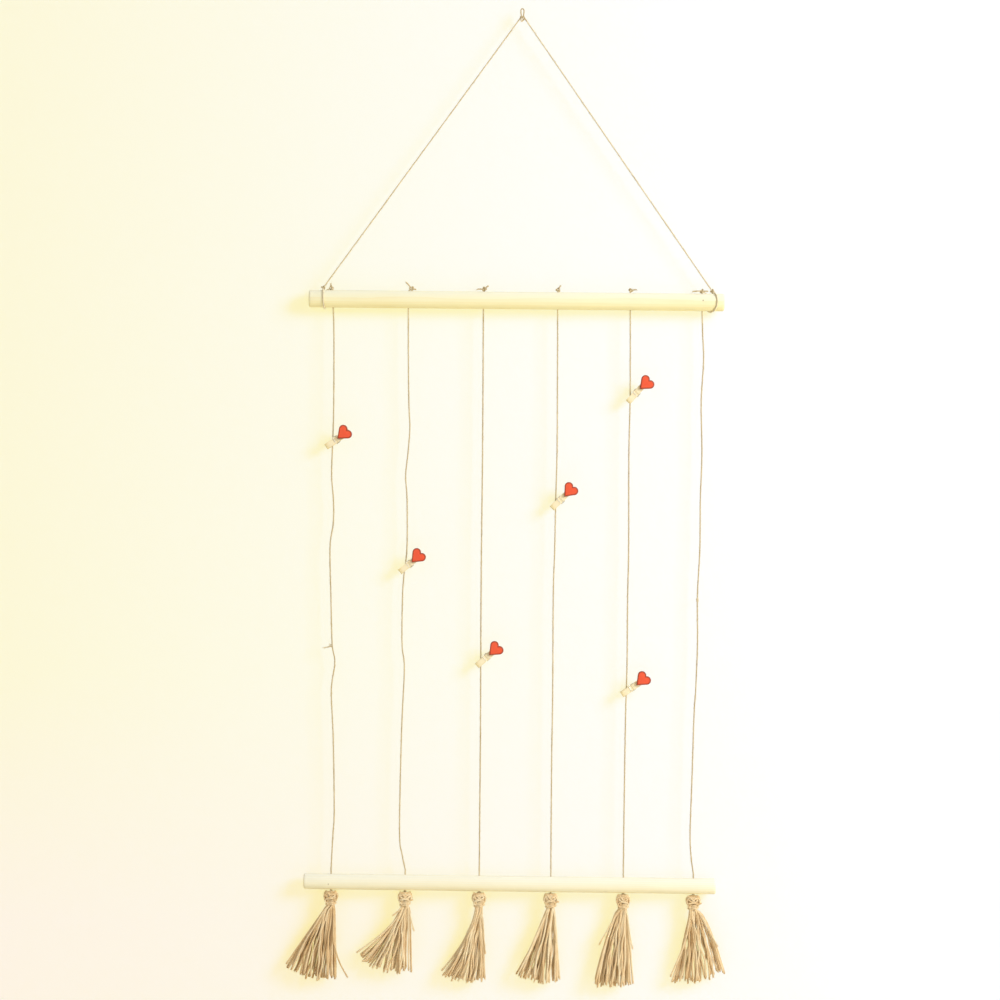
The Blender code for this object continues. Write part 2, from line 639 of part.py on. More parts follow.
def spring_points():
    """The spring's wire: an arm over the rear lever, the coil, and an arm over the front one."""
    inner = JAW_GAP / 2
    outer = inner + LEVER_THICKNESS
    groove_centre = outer + WIRE_GROOVE_RADIUS - WIRE_GROOVE_DEPTH
    aside = ARM_REACH - WIRE_GROOVE_PLACE
    groove_floor = groove_centre - math.sqrt(WIRE_GROOVE_RADIUS**2 - aside**2)
    lift = groove_floor + WIRE_DIAMETER / 2 + ARM_CLEARANCE
    side = PEG_WIDTH / 2 + WIRE_DIAMETER / 2 + ARM_CLEARANCE
    corner = Vector((-ARM_REACH, -lift, 0))
    away = math.acos(COIL_MEAN_RADIUS / corner.length)
    leave = math.atan2(lift, -ARM_REACH) - away
    turned = 2 * leave + math.tau * COIL_FULL_TURNS
    steps = round(turned / math.tau * COIL_POINTS)
    coil = []
    for step in range(steps + 1):
        angle = turned * step / steps - leave
        height = side * (2 * step / steps - 1)
        coil.append(
            Vector(
                (COIL_MEAN_RADIUS * math.cos(angle), -COIL_MEAN_RADIUS * math.sin(angle), height)
            )
        )

    def arm(edge):
        """From the coil to the lever's outer face, round the bend and across the lever."""
        foot = coil[-1] if edge > 0 else coil[0]
        turn = Vector((corner.x, corner.y * edge, side * edge))
        toward = (turn - foot).normalized()
        across = Vector((0, 0, -edge))
        points = [foot.lerp(turn, 0.5)]
        for bend_deg in (0.0, 45.0, 90.0):
            bend = math.radians(bend_deg)
            points.append(
                turn
                - toward * ARM_BEND_RADIUS * (1 - math.sin(bend))
                + across * ARM_BEND_RADIUS * (1 - math.cos(bend))
            )
        points.append(Vector((turn.x, turn.y, -edge * (PEG_WIDTH / 2 - ARM_END_INSET))))
        return points

    return [*reversed(arm(-1)), *coil, *arm(1)]


def make_spring(name, finish, parent):
    return place(cord_curve(spring_points(), WIRE_DIAMETER, 1), name, finish, parent)


def heart_outline():
    """A heart with its point at the origin and its lobes up +X, as two arcs and two flanks."""
    centre_up = HEART_HEIGHT - HEART_LOBE_RADIUS
    reach = math.hypot(centre_up, HEART_LOBE_OFFSET)
    flank = math.degrees(
        math.atan2(HEART_LOBE_OFFSET, centre_up) + math.asin(HEART_LOBE_RADIUS / reach)
    )
    cleft = math.degrees(math.acos(HEART_LOBE_OFFSET / HEART_LOBE_RADIUS))
    first = arc((centre_up, -HEART_LOBE_OFFSET), HEART_LOBE_RADIUS, -flank - 90, 90 - cleft, HEART_LOBE_STEPS)
    second = arc((centre_up, HEART_LOBE_OFFSET), HEART_LOBE_RADIUS, cleft - 90, flank + 90, HEART_LOBE_STEPS)
    return [(0, 0), *first, *second[1:]]


def make_heart(index, finish, parent):
    """The wooden heart glued across the front lever's handle, its point towards the jaws."""
    bm = prism(heart_outline(), 0, HEART_THICKNESS)
    front = [e for e in bm.edges if min(v.co.z for v in e.verts) > HEART_THICKNESS / 2]
    bmesh.ops.bevel(
        bm, geom=front, offset=HEART_EDGE_ROUND, segments=2, profile=0.5, affect="EDGES"
    )
    heart = place(mesh_object(bm, smooth_deg=50), f"clip_{index + 1}_heart", finish, parent)
    outer = JAW_GAP / 2 + LEVER_THICKNESS
    tip = HEART_PLACE_SHARES[index] * PEG_LENGTH - PEG_JAW_LENGTH
    turn = Matrix.Rotation(math.radians(-HEART_TURNS_DEG[index]), 4, "Y")
    stand = Matrix.Rotation(math.radians(90), 4, "X")
    heart.matrix_local = Matrix.Translation((tip, -outer - SEAT_GAP, 0)) @ turn @ stand
    return heart


def peg_matrix(index):
    """The peg's own frame: origin on the coil's axis, X to the handle, Z across the peg."""
    route = string_route(PEG_STRINGS[index])
    drop = PEG_DROP_SHARES[index]
    points = smooth_route(route, 2 * len(route) + 1)
    level = route[0].z + (route[-1].z - route[0].z) * drop
    above = [p for p in points if p.z >= level][-1]
    below = [p for p in points if p.z < level][0]
    crossing = above.lerp(below, (above.z - level) / (above.z - below.z))
    slant = math.radians(PEG_SLANTS_DEG[index])
    to_pivot = PEG_JAW_LENGTH - PEG_GRIP_SHARES[index] * PEG_LENGTH
    along = Vector((math.cos(slant), 0, math.sin(slant)))
    return Matrix.Translation(crossing + along * to_pivot) @ Matrix.Rotation(-slant, 4, "Y")


def make_peg(index, wood, steel, red):
    name = f"clip_{index + 1}"
    frame = empty(name, peg_matrix(index))
    make_lever(name + "_rear_lever", 1, wood, frame)
    make_lever(name + "_front_lever", -1, wood, frame)
    make_spring(name + "_spring", steel, frame)
    make_heart(index, red, frame)


def main():
    clear_scene()
    pale_wood = material("pale_wood", (0.86, 0.70, 0.42), 0.55)
    jute = material("jute_twine", (0.55, 0.40, 0.20), 0.9)
    tassel_jute = material("tassel_jute", (0.62, 0.44, 0.22), 0.95)
    peg_wood = material("peg_wood", (0.88, 0.74, 0.48), 0.6)
    steel = material("spring_steel", (0.62, 0.60, 0.55), 0.3, metallic=1.0)
    red = material("heart_red", (0.85, 0.09, 0.04), 0.45)

    make_dowel(
        "top_dowel", TOP_DOWEL_LENGTH, TOP_DOWEL_DIAMETER,
        dowel_matrix(TOP_DOWEL_SHIFT, HANG_DROP, TOP_DOWEL_TILT_DEG), TOP_HOLE_SHARES, pale_wood,
    )
    make_dowel(
        "bottom_dowel", BOTTOM_DOWEL_LENGTH, BOTTOM_DOWEL_DIAMETER,
        dowel_matrix(BOTTOM_DOWEL_SHIFT, HANG_DROP + DOWEL_SPACING, BOTTOM_DOWEL_TILT_DEG),
        BOTTOM_HOLE_SHARES, pale_wood,
    )
    make_hanger(jute)
    for index in range(len(STRING_ROUTE_SHARES)):
        make_string_knot(index, jute)
        make_string(index, jute)
        tassel = make_tassel(index, tassel_jute)
        make_tie(index, tassel, jute)
    gap = least_gap(spring_points(), WIRE_DIAMETER, COIL_MEAN_RADIUS * math.pi)
    print(f"spring: least gap to itself {gap * 1000:.2f} mm")
    for index in range(len(PEG_STRINGS)):
        make_peg(index, peg_wood, steel, red)


main()
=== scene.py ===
import math

import bmesh
import bpy
import numpy as np
from mathutils import Matrix, Vector
from mathutils.geometry import intersect_point_line


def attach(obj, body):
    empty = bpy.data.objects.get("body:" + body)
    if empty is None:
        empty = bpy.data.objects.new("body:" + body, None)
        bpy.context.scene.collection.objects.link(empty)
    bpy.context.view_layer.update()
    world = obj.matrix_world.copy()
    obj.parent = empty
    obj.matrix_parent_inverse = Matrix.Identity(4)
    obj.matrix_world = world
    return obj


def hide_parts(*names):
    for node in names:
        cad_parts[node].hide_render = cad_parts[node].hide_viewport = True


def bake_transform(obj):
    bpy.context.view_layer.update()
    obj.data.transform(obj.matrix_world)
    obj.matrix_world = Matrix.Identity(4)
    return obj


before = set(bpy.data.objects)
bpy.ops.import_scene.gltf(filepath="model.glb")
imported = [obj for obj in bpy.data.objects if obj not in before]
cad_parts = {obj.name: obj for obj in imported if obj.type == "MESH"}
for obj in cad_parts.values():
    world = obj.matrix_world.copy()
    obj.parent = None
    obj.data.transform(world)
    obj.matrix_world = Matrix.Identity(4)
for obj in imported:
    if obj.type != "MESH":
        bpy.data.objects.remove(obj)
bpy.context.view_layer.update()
bpy.ops.object.select_all(action="DESELECT")


# The room: the display hangs just in front of a warm white wall, over a pale floor. A
# soft lamp at the upper right lights it, and the camera looks straight on from 3 m.
PICTURE_WIDTH = 1.205
EYE = Vector((-0.0271, -3.0, -0.5917))
WALL_FACE = 0.0165
WALL_SIDE = 12.0
FLOOR_LEVEL = -1.45
FLOOR_SIDE = 12.0
LAMP_PLACE = Vector((2.30, -2.00, 0.55))
LAMP_AIM = Vector((-0.02, 0, -0.65))
LAMP_SIDE = 1.30
LAMP_WATTS = 68.0
ROOM_LIGHT = 0.52

bpy.ops.object.camera_add(location=EYE, rotation=(math.radians(90), 0, 0))
camera = bpy.context.object
camera.data.lens = camera.data.sensor_width * -EYE.y / PICTURE_WIDTH
bpy.context.scene.camera = camera
bpy.context.scene.view_settings.view_transform = "Standard"

bpy.ops.object.light_add(
    type="AREA", location=LAMP_PLACE, rotation=(LAMP_AIM - LAMP_PLACE).to_track_quat("-Z", "Y").to_euler()
)
lamp = bpy.context.object.data
lamp.size = LAMP_SIDE
lamp.energy = LAMP_WATTS


class Shade:
    """A value in a material: sums on it add Math nodes, and node() adds any other node."""

    def __init__(self, tree, socket=None):
        self.tree = tree
        self.socket = socket

    def node(self, kind, settings=None, sockets=None, output=0):
        made = self.tree.nodes.new(kind)
        for name, value in (settings or {}).items():
            if name == "stops":
                ramp = made.color_ramp
                while len(ramp.elements) < len(value):
                    ramp.elements.new(0.5)
                for stop, (place, colour) in zip(ramp.elements, value):
                    stop.position = place
                    stop.color = colour
            else:
                setattr(made, name, value)
        for name, value in (sockets or {}).items():
            if isinstance(value, Shade):
                self.tree.links.new(value.socket, made.inputs[name])
            else:
                made.inputs[name].default_value = value
        return Shade(self.tree, made.outputs[output] if made.outputs else None)

    def sum(self, operation, *values):
        return self.node("ShaderNodeMath", {"operation": operation}, dict(enumerate(values)))

    def __add__(self, other):
        return self.sum("ADD", self, other)

    def __radd__(self, other):
        return self.sum("ADD", other, self)

    def __sub__(self, other):
        return self.sum("SUBTRACT", self, other)

    def __rsub__(self, other):
        return self.sum("SUBTRACT", other, self)

    def __mul__(self, other):
        return self.sum("MULTIPLY", self, other)

    def __rmul__(self, other):
        return self.sum("MULTIPLY", other, self)

    def __truediv__(self, other):
        return self.sum("DIVIDE", self, other)

    def __rtruediv__(self, other):
        return self.sum("DIVIDE", other, self)


def srgb(red, green, blue):
    """A colour as a colour picker shows it, from 0 to 255, in the shader's own scale."""
    shares = [c / 255 for c in (red, green, blue)]
    return *(c / 12.92 if c <= 0.04045 else ((c + 0.055) / 1.055) ** 2.4 for c in shares), 1.0


def new_finish(name):
    """A material with nothing in it, and the start of its nodes."""
    made = bpy.data.materials.new(name)
    made.use_nodes = True
    made.node_tree.nodes.clear()
    return made, Shade(made.node_tree)


def two_tone(factor, first, second):
    """A colour between two others, by a value from 0 to 1."""
    return factor.node("ShaderNodeMix", {"data_type": "RGBA"}, {0: factor, 6: first, 7: second}, 2)


def seen_directly(start):
    """1 where the camera looks, straight or in a shiny or clear thing, and 0 for other light."""
    straight, shiny, clear = (start.node("ShaderNodeLightPath", output=n) for n in (0, 3, 6))
    return start.sum("MINIMUM", straight + shiny + clear, 1.0)


def coordinate(place, axis):
    """One coordinate of a place: 0 is X, 1 is Y and 2 is Z."""
    return place.node("ShaderNodeSeparateXYZ", None, {"Vector": place}, axis)


def rising(value, low, high):
    """0 where the value is low, 1 where it is high, and even steps between them."""
    return value.node("ShaderNodeMapRange", None, {"Value": value, "From Min": low, "From Max": high})


world = bpy.data.worlds.new("room")
bpy.context.scene.world = world
world.use_nodes = True
world.node_tree.nodes.clear()
start = Shade(world.node_tree)
soft = start.node("ShaderNodeBackground", None, {"Color": srgb(255, 252, 246), "Strength": ROOM_LIGHT})
white = start.node("ShaderNodeBackground", None, {"Color": srgb(255, 254, 250), "Strength": 1.0})
both = start.node("ShaderNodeMixShader", None, {0: seen_directly(start), 1: soft, 2: white})
start.node("ShaderNodeOutputWorld", None, {"Surface": both})


def room_paint(name, left_glow, right_glow, low_glow, paint, one_sided):
    """Paint that looks near white to the camera and keeps a faint warm shadow.

    It glows warmer at the left, and in its own way low down. A one-sided wall can't be
    seen from behind.
    """
    made, start = new_finish(name)
    place = start.node("ShaderNodeTexCoord", output=3)
    rise = rising(coordinate(place, 0), -0.65, 0.40)
    sink = rising(coordinate(place, 2), -0.80, -1.10)
    upper = two_tone(rise, left_glow, right_glow)
    seen = two_tone((1.0 - rise) * sink, upper, low_glow)
    glow = start.node("ShaderNodeEmission", None, {"Color": seen})
    lit = start.node("ShaderNodeBsdfDiffuse", None, {"Color": paint})
    shown = start.node("ShaderNodeAddShader", None, {0: glow, 1: lit})
    plain = start.node("ShaderNodeBsdfDiffuse", None, {"Color": srgb(246, 240, 226)})
    both = start.node("ShaderNodeMixShader", None, {0: seen_directly(start), 1: plain, 2: shown})
    if one_sided:
        behind = start.node("ShaderNodeNewGeometry", output=6)
        nothing = start.node("ShaderNodeBsdfTransparent")
        both = start.node("ShaderNodeMixShader", None, {0: behind, 1: both, 2: nothing})
    start.node("ShaderNodeOutputMaterial", None, {"Surface": both})
    return made


bpy.ops.mesh.primitive_plane_add(
    size=WALL_SIDE,
    location=(0, WALL_FACE, FLOOR_LEVEL + WALL_SIDE / 2),
    rotation=(math.radians(90), 0, 0),
)
wall = bpy.context.object
wall.name = "wall"
bpy.ops.object.transform_apply(location=True, rotation=True)
wall.data.materials.append(
    room_paint(
        "wall_paint", (0.93, 0.77, 0.11, 1), (0.95, 0.81, 0.29, 1), (0.94, 0.74, 0.22, 1),
        (0.06, 0.20, 0.75, 1), True,
    )
)
bpy.ops.mesh.primitive_plane_add(size=FLOOR_SIDE, location=(0, WALL_FACE - FLOOR_SIDE / 2, FLOOR_LEVEL))
floor = bpy.context.object
floor.name = "floor"
bpy.ops.object.transform_apply(location=True)
floor.data.materials.append(
    room_paint(
        "floor_paint", (0.60, 0.55, 0.42, 1), (0.62, 0.58, 0.48, 1), (0.60, 0.55, 0.42, 1),
        (0.36, 0.38, 0.42, 1), False,
    )
)


# The six strings: each is one three-ply jute twine, knotted on top of the top dowel. It
# runs down through both dowels' holes, waving a little, to a knot under the bottom one.
TWINE_WIDTH = 0.0016
TWINE_LAY = 0.0052
TWINE_STEP = 0.00045
TWINE_HAIRS = (1050, 0.0045, 0.0013)
HAIR_HALF = 0.00008
STRING_LEAD = 0.006
STRING_WANDER = 0.0070
END_KNOT_WIDTH = 0.0044
KNOT_TUCK = 0.0006
KNOT_SEAT = 0.0003
STRING_TAIL = 0.0015
TOP_DOWEL = {"length": 0.500, "width": 0.021, "side": -0.007, "drop": 0.3514, "tilt": 0.55}
BOTTOM_DOWEL = {"length": 0.496, "width": 0.019, "side": -0.0155, "drop": 1.0540, "tilt": 0.74}
TOP_HOLES = (0.058, 0.239, 0.420, 0.599, 0.774, 0.947)
BOTTOM_HOLES = (0.066, 0.246, 0.426, 0.600, 0.776, 0.946)
STRING_WAVES = (
    ((0.043, 0.14), (0.171, 0.16), (0.230, 0.03), (0.299, -0.16), (0.342, 0.17), (0.384, 0.16),
     (0.427, -0.39), (0.512, -0.21), (0.598, 0.03), (0.633, 0.51), (0.683, -0.07), (0.769, 0.29),
     (0.897, 0.5), (0.940, 0.29)),
    ((0.085, 0.06), (0.170, 0.2), (0.213, 0.39), (0.256, 0.11), (0.299, -0.29), (0.341, -0.03),
     (0.426, 0.0), (0.476, -0.49), (0.512, -0.71), (0.597, -0.76), (0.640, -0.33), (0.725, -0.66),
     (0.810, -0.87), (0.938, -1.0), (0.972, -0.57)),
    ((0.250, 0.04), (0.500, -0.04), (0.750, 0.03)),
    ((0.120, 0.11), (0.254, 0.19), (0.339, 0.06), (0.424, 0.0), (0.508, -0.16), (0.678, -0.06),
     (0.805, -0.09), (0.940, -0.04)),
    ((0.085, 0.1), (0.169, 0.16), (0.254, 0.07), (0.423, 0.23), (0.508, 0.16), (0.635, 0.19),
     (0.720, 0.06), (0.889, 0.0)),
    ((0.042, 0.17), (0.085, 0.41), (0.127, 0.23), (0.169, 0.1), (0.254, 0.36), (0.338, 0.21),
     (0.423, 0.26), (0.507, -0.03), (0.592, 0.11), (0.677, -0.09), (0.719, -0.29), (0.846, -0.5),
     (0.930, -0.66), (0.973, -0.4)),
)


def dowel_frame(dowel):
    """The dowel's own axes: X along it, from its middle."""
    return Matrix.Translation((dowel["side"], 0, -dowel["drop"])) @ Matrix.Rotation(
        math.radians(dowel["tilt"]), 4, "Y"
    )


def over_hole(dowel, share, height):
    """A point on a hole's middle line, that high over the dowel's middle."""
    return dowel_frame(dowel) @ Vector((dowel["length"] * (share - 0.5), 0, height))


def free_run(index):
    """The points that a string passes between the dowels, its waves among them."""
    leave = over_hole(TOP_DOWEL, TOP_HOLES[index], -TOP_DOWEL["width"] / 2)
    land = over_hole(BOTTOM_DOWEL, BOTTOM_HOLES[index], BOTTOM_DOWEL["width"] / 2)
    lead = land + Vector((0, 0, STRING_LEAD))
    run = [leave]
    for share, stray in STRING_WAVES[index]:
        run.append(leave.lerp(lead, share) + Vector((stray * STRING_WANDER, 0, 0)))
    return [*run, lead]


def eased(points, parts=12):
    """A smooth line through the points."""
    ends = [points[0] * 2 - points[1], *points, points[-1] * 2 - points[-2]]
    line = []
    for before, here, there, after in zip(ends, ends[1:], ends[2:], ends[3:]):
        for part in range(parts):
            t = part / parts
            bend = (
                here * 2
                + (there - before) * t
                + (before * 2 - here * 5 + there * 4 - after) * t**2
                + (here * 3 - before - there * 3 + after) * t**3
            )
            line.append(bend / 2)
    return [*line, points[-1]]


def even_steps(line, step):
    """The same line, with its points an even step apart, and its length."""
    line = np.array([tuple(p) for p in line])
    along = np.concatenate([[0], np.cumsum(np.linalg.norm(np.diff(line, axis=0), axis=1))])
    wanted = np.linspace(0, along[-1], max(3, round(along[-1] / step) + 1))
    return np.column_stack([np.interp(wanted, along, line[:, k]) for k in range(3)]), along[-1]


def round_the_line(line):
    """At each point of a line: its direction, and two sideways ones that don't turn about it."""
    ahead = np.gradient(line, axis=0)
    ahead /= np.linalg.norm(ahead, axis=1)[:, None]
    side = np.cross(ahead[0], (0.31, 0.87, 0.38))
    sides = []
    for direction in ahead:
        side = side - direction * side.dot(direction)
        side /= np.linalg.norm(side)
        sides.append(side)
    sides = np.array(sides)
    return ahead, sides, np.cross(ahead, sides)


def twist_yarn(line, width, lay, turn=0.0, tone=0.0, groove=0.24, sides=12):
    """A twisted three-ply yarn along a line, closed at both ends."""
    _, side, other = round_the_line(line)
    count = len(line)
    step = np.linalg.norm(line[1] - line[0])
    ring = math.tau * np.arange(sides) / sides
    off_ply = (ring + math.pi / 3) % (math.tau / 3) - math.pi / 3
    ply = 1 / (1 + 2 / math.sqrt(3))
    sideways = (1 - ply) * np.sin(off_ply)
    swell = (1 - ply) * np.cos(off_ply) + np.sqrt(np.maximum(ply**2 - sideways**2, 0))
    crest = (swell - swell.min()) / (swell.max() - swell.min())
    angle = turn + math.tau * step / lay * np.arange(count)[:, None] + ring
    reach = np.broadcast_to(width, count)[:, None] / 2 * (1 - groove * (1 - crest))
    points = (
        line[:, None]
        + side[:, None] * (np.cos(angle) * reach)[..., None]
        + other[:, None] * (np.sin(angle) * reach)[..., None]
    ).reshape(-1, 3)
    i, j = np.meshgrid(np.arange(count - 1), np.arange(sides), indexing="ij")
    k = (j + 1) % sides
    faces = np.stack([i * sides + j, i * sides + k, (i + 1) * sides + k, (i + 1) * sides + j], -1)
    faces = faces.reshape(-1, 4).tolist()
    faces.append([*range(sides)][::-1])
    faces.append([*range((count - 1) * sides, count * sides)])
    marks = {
        "crest": np.tile(crest, count),
        "tone": np.repeat(np.broadcast_to(tone, count), sides),
        "fibre": np.stack(
            [
                np.tile(2.6 * np.cos(ring), count),
                np.tile(2.6 * np.sin(ring), count),
                np.repeat(step * np.arange(count) / 0.004 + 7 * turn, sides),
            ],
            -1,
        ),
    }
    return points, faces, marks


def loose_hairs(line, width, count, length, lift, seed):
    """Thin pointed fibres that stand off a yarn along its length."""
    rng = np.random.default_rng(seed)
    ahead, side, other = round_the_line(line)
    margin = min(12, len(line) // 4)
    at = rng.integers(margin, len(line) - margin, count)
    angle = rng.uniform(0, math.tau, count)
    out = side[at] * np.cos(angle)[:, None] + other[at] * np.sin(angle)[:, None]
    around = np.cross(ahead[at], out)
    way = rng.choice([-1.0, 1.0], count)[:, None]
    long = (length * rng.uniform(0.5, 1.0, count))[:, None]
    reached = np.rint(way[:, 0] * long[:, 0] / np.linalg.norm(line[1] - line[0])).astype(int)
    there = ahead[np.clip(at + reached, 0, len(line) - 1)]
    long *= np.clip((ahead[at] * there).sum(axis=1), 0.25, 1)[:, None] ** 3
    high = (lift * rng.uniform(0.3, 1.0, count))[:, None]
    swing = long * rng.uniform(-0.3, 0.3, count)[:, None]
    thick = (HAIR_HALF * rng.uniform(0.6, 1.2, count))[:, None]
    foot = line[at] + out * width * 0.42
    spine = [
        foot,
        foot + ahead[at] * way * long * 0.4 + out * high * 0.35 + around * swing * 0.2,
        foot + ahead[at] * way * long * 0.75 + out * high * 0.8 + around * swing * 0.6,
        foot + ahead[at] * way * long + out * high + around * swing,
    ]
    points = []
    for place, share in zip(spine, (1.0, 0.8, 0.5)):
        for corner in range(3):
            spin = corner * math.tau / 3
            points.append(place + (out * math.cos(spin) + around * math.sin(spin)) * thick * share)
    points.append(spine[3])
    points = np.stack(points, 1).reshape(-1, 3)
    shape = []
    for level in (0, 3):
        for corner in range(3):
            after = (corner + 1) % 3
            shape.append([level + corner, level + after, level + 3 + after, level + 3 + corner])
    shape += [[6 + corner, 6 + (corner + 1) % 3, 9] for corner in range(3)]
    shape.append([2, 1, 0])
    faces = []
    for number in range(count):
        flip = -1 if way[number, 0] < 0 else 1
        faces += [[10 * number + corner for corner in face][::flip] for face in shape]
    marks = {
        "crest": np.full(count * 10, 0.9),
        "tone": np.repeat(rng.uniform(-0.4, 1.0, count), 10),
        "fibre": np.repeat(rng.uniform(0, 9, (count, 3)), 10, axis=0),
    }
    return points, faces, marks


def jute_piece(name, parts, finish):
    """One mesh of yarns and their hairs, with the marks that the jute finish reads."""
    points = np.concatenate([part[0] for part in parts])
    faces = []
    start = 0
    for part in parts:
        faces += [[corner + start for corner in face] for face in part[1]]
        start += len(part[0])
    mesh = bpy.data.meshes.new(name)
    mesh.from_pydata(points.tolist(), [], faces)
    for mark, kind, field in (
        ("crest", "FLOAT", "value"),
        ("tone", "FLOAT", "value"),
        ("fibre", "FLOAT_VECTOR", "vector"),
    ):
        values = np.concatenate([part[2][mark] for part in parts]).astype(np.float32)
        mesh.attributes.new(mark, kind, "POINT").data.foreach_set(field, values.ravel())
    mesh.shade_smooth()
    mesh.materials.append(finish)
    piece = bpy.data.objects.new(name, mesh)
    bpy.context.scene.collection.objects.link(piece)
    return piece


def noise(place, scale, detail, distortion=0.0):
    """Soft random mottling, from 0 to 1."""
    return place.node(
        "ShaderNodeTexNoise", None,
        {"Vector": place, "Scale": scale, "Detail": detail, "Distortion": distortion},
    )


def surface(start, colour, roughness, relief, strength, depth, gloss=0.5, **more):
    """The finished surface: its colour, its roughness, a fine relief and its gloss."""
    bump = start.node("ShaderNodeBump", None, {"Height": relief, "Strength": strength, "Distance": depth})
    made = start.node(
        "ShaderNodeBsdfPrincipled", None,
        {
            "Base Color": colour, "Roughness": roughness, "Normal": bump,
            "Specular IOR Level": gloss, **more,
        },
    )
    start.node("ShaderNodeOutputMaterial", None, {"Surface": made})


def jute_finish(name, deep, middle, light):
    """Twisted plant fibre: painted shade makes the grooves brown and the crests pale, with fine streaks
    along each ply.
    """
    made, start = new_finish(name)
    crest = start.node("ShaderNodeAttribute", {"attribute_name": "crest"}, output=2)
    tone = start.node("ShaderNodeAttribute", {"attribute_name": "tone"}, output=2)
    fibre = start.node("ShaderNodeAttribute", {"attribute_name": "fibre"}, output=1)
    streak = noise(fibre, 2.2, 4.0)
    patch = noise(start.node("ShaderNodeTexCoord", output=3), 70.0, 2.0)
    # Painted shade: the crest mark makes the grooves between the plies darker and the crests paler.
    shade = crest * 0.40 + (streak - 0.5) * 0.95 + (patch - 0.5) * 0.5 + tone * 0.14 + 0.34
    colour = start.node(
        "ShaderNodeValToRGB", {"stops": ((0.08, deep), (0.50, middle), (0.92, light))}, {"Fac": shade}
    )
    surface(
        start, colour, 0.78 + streak * 0.15, streak, 0.6, 0.00015, 0.14,
        **{"Sheen Weight": 0.06, "Sheen Roughness": 0.5},
    )
    return made


def overhand(centre, width, deep, turn, entry, tail):
    """The line of a tight overhand knot, from its entry's points round and out along its tail."""
    size = (width - KNOT_TUCK) / 6
    loop = []
    for step in range(45):
        t = math.tau * (0.05 + 0.90 * step / 44)
        aside = math.sin(t) + 2 * math.sin(2 * t)
        height = math.cos(t) - 2 * math.cos(2 * t)
        loop.append(centre + turn @ (Vector((aside, -deep * math.sin(3 * t), height)) * size))
    return eased([*entry, *loop[::2], *tail], 6)


string_jute = jute_finish("string_jute", srgb(155, 125, 78), srgb(217, 197, 154), srgb(243, 230, 198))
for index in range(6):
    number = index + 1
    mouth = over_hole(TOP_DOWEL, TOP_HOLES[index], TOP_DOWEL["width"] / 2)
    leave = over_hole(TOP_DOWEL, TOP_HOLES[index], -TOP_DOWEL["width"] / 2)
    land = over_hole(BOTTOM_DOWEL, BOTTOM_HOLES[index], BOTTOM_DOWEL["width"] / 2)
    hang = -(BOTTOM_DOWEL["width"] + END_KNOT_WIDTH) / 2 - KNOT_SEAT
    knot = over_hole(BOTTOM_DOWEL, BOTTOM_HOLES[index], hang)
    line, length = even_steps([mouth, *eased(free_run(index)), land, knot], TWINE_STEP)
    string = jute_piece(
        f"string_{number}_twine",
        [
            twist_yarn(line, TWINE_WIDTH, TWINE_LAY, turn=index, tone=0.3 * math.sin(2.4 * index) - 0.7),
            loose_hairs(line, TWINE_WIDTH, *TWINE_HAIRS, seed=number),
        ],
        string_jute,
    )
    down = (knot - land).normalized()
    end_line, _ = even_steps(
        overhand(
            knot, END_KNOT_WIDTH, 1.2, Matrix.Rotation(1.1 * number, 3, "Z"),
            [knot - down * END_KNOT_WIDTH / 2], [knot + down * (END_KNOT_WIDTH / 2 + STRING_TAIL)],
        ),
        TWINE_STEP,
    )
    # The end knot is painted darker than its string, as painted shade inside the tassel's head.
    end_knot = jute_piece(
        f"string_{number}_end_knot",
        [
            twist_yarn(end_line, TWINE_WIDTH * 0.9, TWINE_LAY, tone=-1.6),
            loose_hairs(end_line, TWINE_WIDTH, 20, 0.003, 0.0012, number),
        ],
        string_jute,
    )
    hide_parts(f"string_{number}")
    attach(end_knot, "curtain")
    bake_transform(string)
    line[::4].tolist() + [line[-1].tolist()]


# Two flaws in the twine, as jute has them: a wisp of fibres that has come loose from the
# first string, and a small slub where the last one was spun too thick.
WISP_HEIGHT = -0.770
WISP_REACHES = (
    (-0.0130, -0.001, -0.0002), (-0.0125, -0.002, 0.0010), (-0.0050, -0.001, 0.0040),
    (-0.0040, 0.0, 0.0052),
)
SLUB_HEIGHT = -0.7122


def on_string(index, height):
    """The place on a string at that height, on its own waving line."""
    return min(eased(free_run(index), 60), key=lambda point: abs(point.z - height))


root = on_string(0, WISP_HEIGHT)
wisp_parts = []
for number, reach in enumerate(WISP_REACHES):
    reach = Vector(reach)
    bow = Vector((0, 0, 0.0012 + 0.0004 * number))
    way = [root + bow, root + reach * 0.3 + bow, root + reach * 0.7, root + reach]
    line, _ = even_steps(eased(way), 0.0004)
    taper = np.interp(np.linspace(0, 1, len(line)), (0, 0.7, 1), (0.0009, 0.0006, 0.0002))
    wisp_parts.append(twist_yarn(line, taper, 0.009, tone=0.2 * number, sides=9))
    wisp_parts.append(loose_hairs(line, 0.0007, 14, 0.004, 0.0010, seed=40 + number))
wisp = jute_piece("string_1_wisp", wisp_parts, string_jute)
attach(wisp, "curtain")

root = on_string(5, SLUB_HEIGHT)
line, _ = even_steps([root + Vector((0, 0, 0.0032)), root, root - Vector((0, 0, 0.0032))], TWINE_STEP)
taper = np.interp(np.linspace(-1, 1, len(line)), (-1, -0.4, 0.4, 1), (0.0012, 0.0030, 0.0030, 0.0012))
slub = jute_piece(
    "string_6_slub",
    [twist_yarn(line, taper, 0.006, tone=0.4), loose_hairs(line, 0.0026, 24, 0.004, 0.0012, seed=61)],
    string_jute,
)
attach(slub, "curtain")


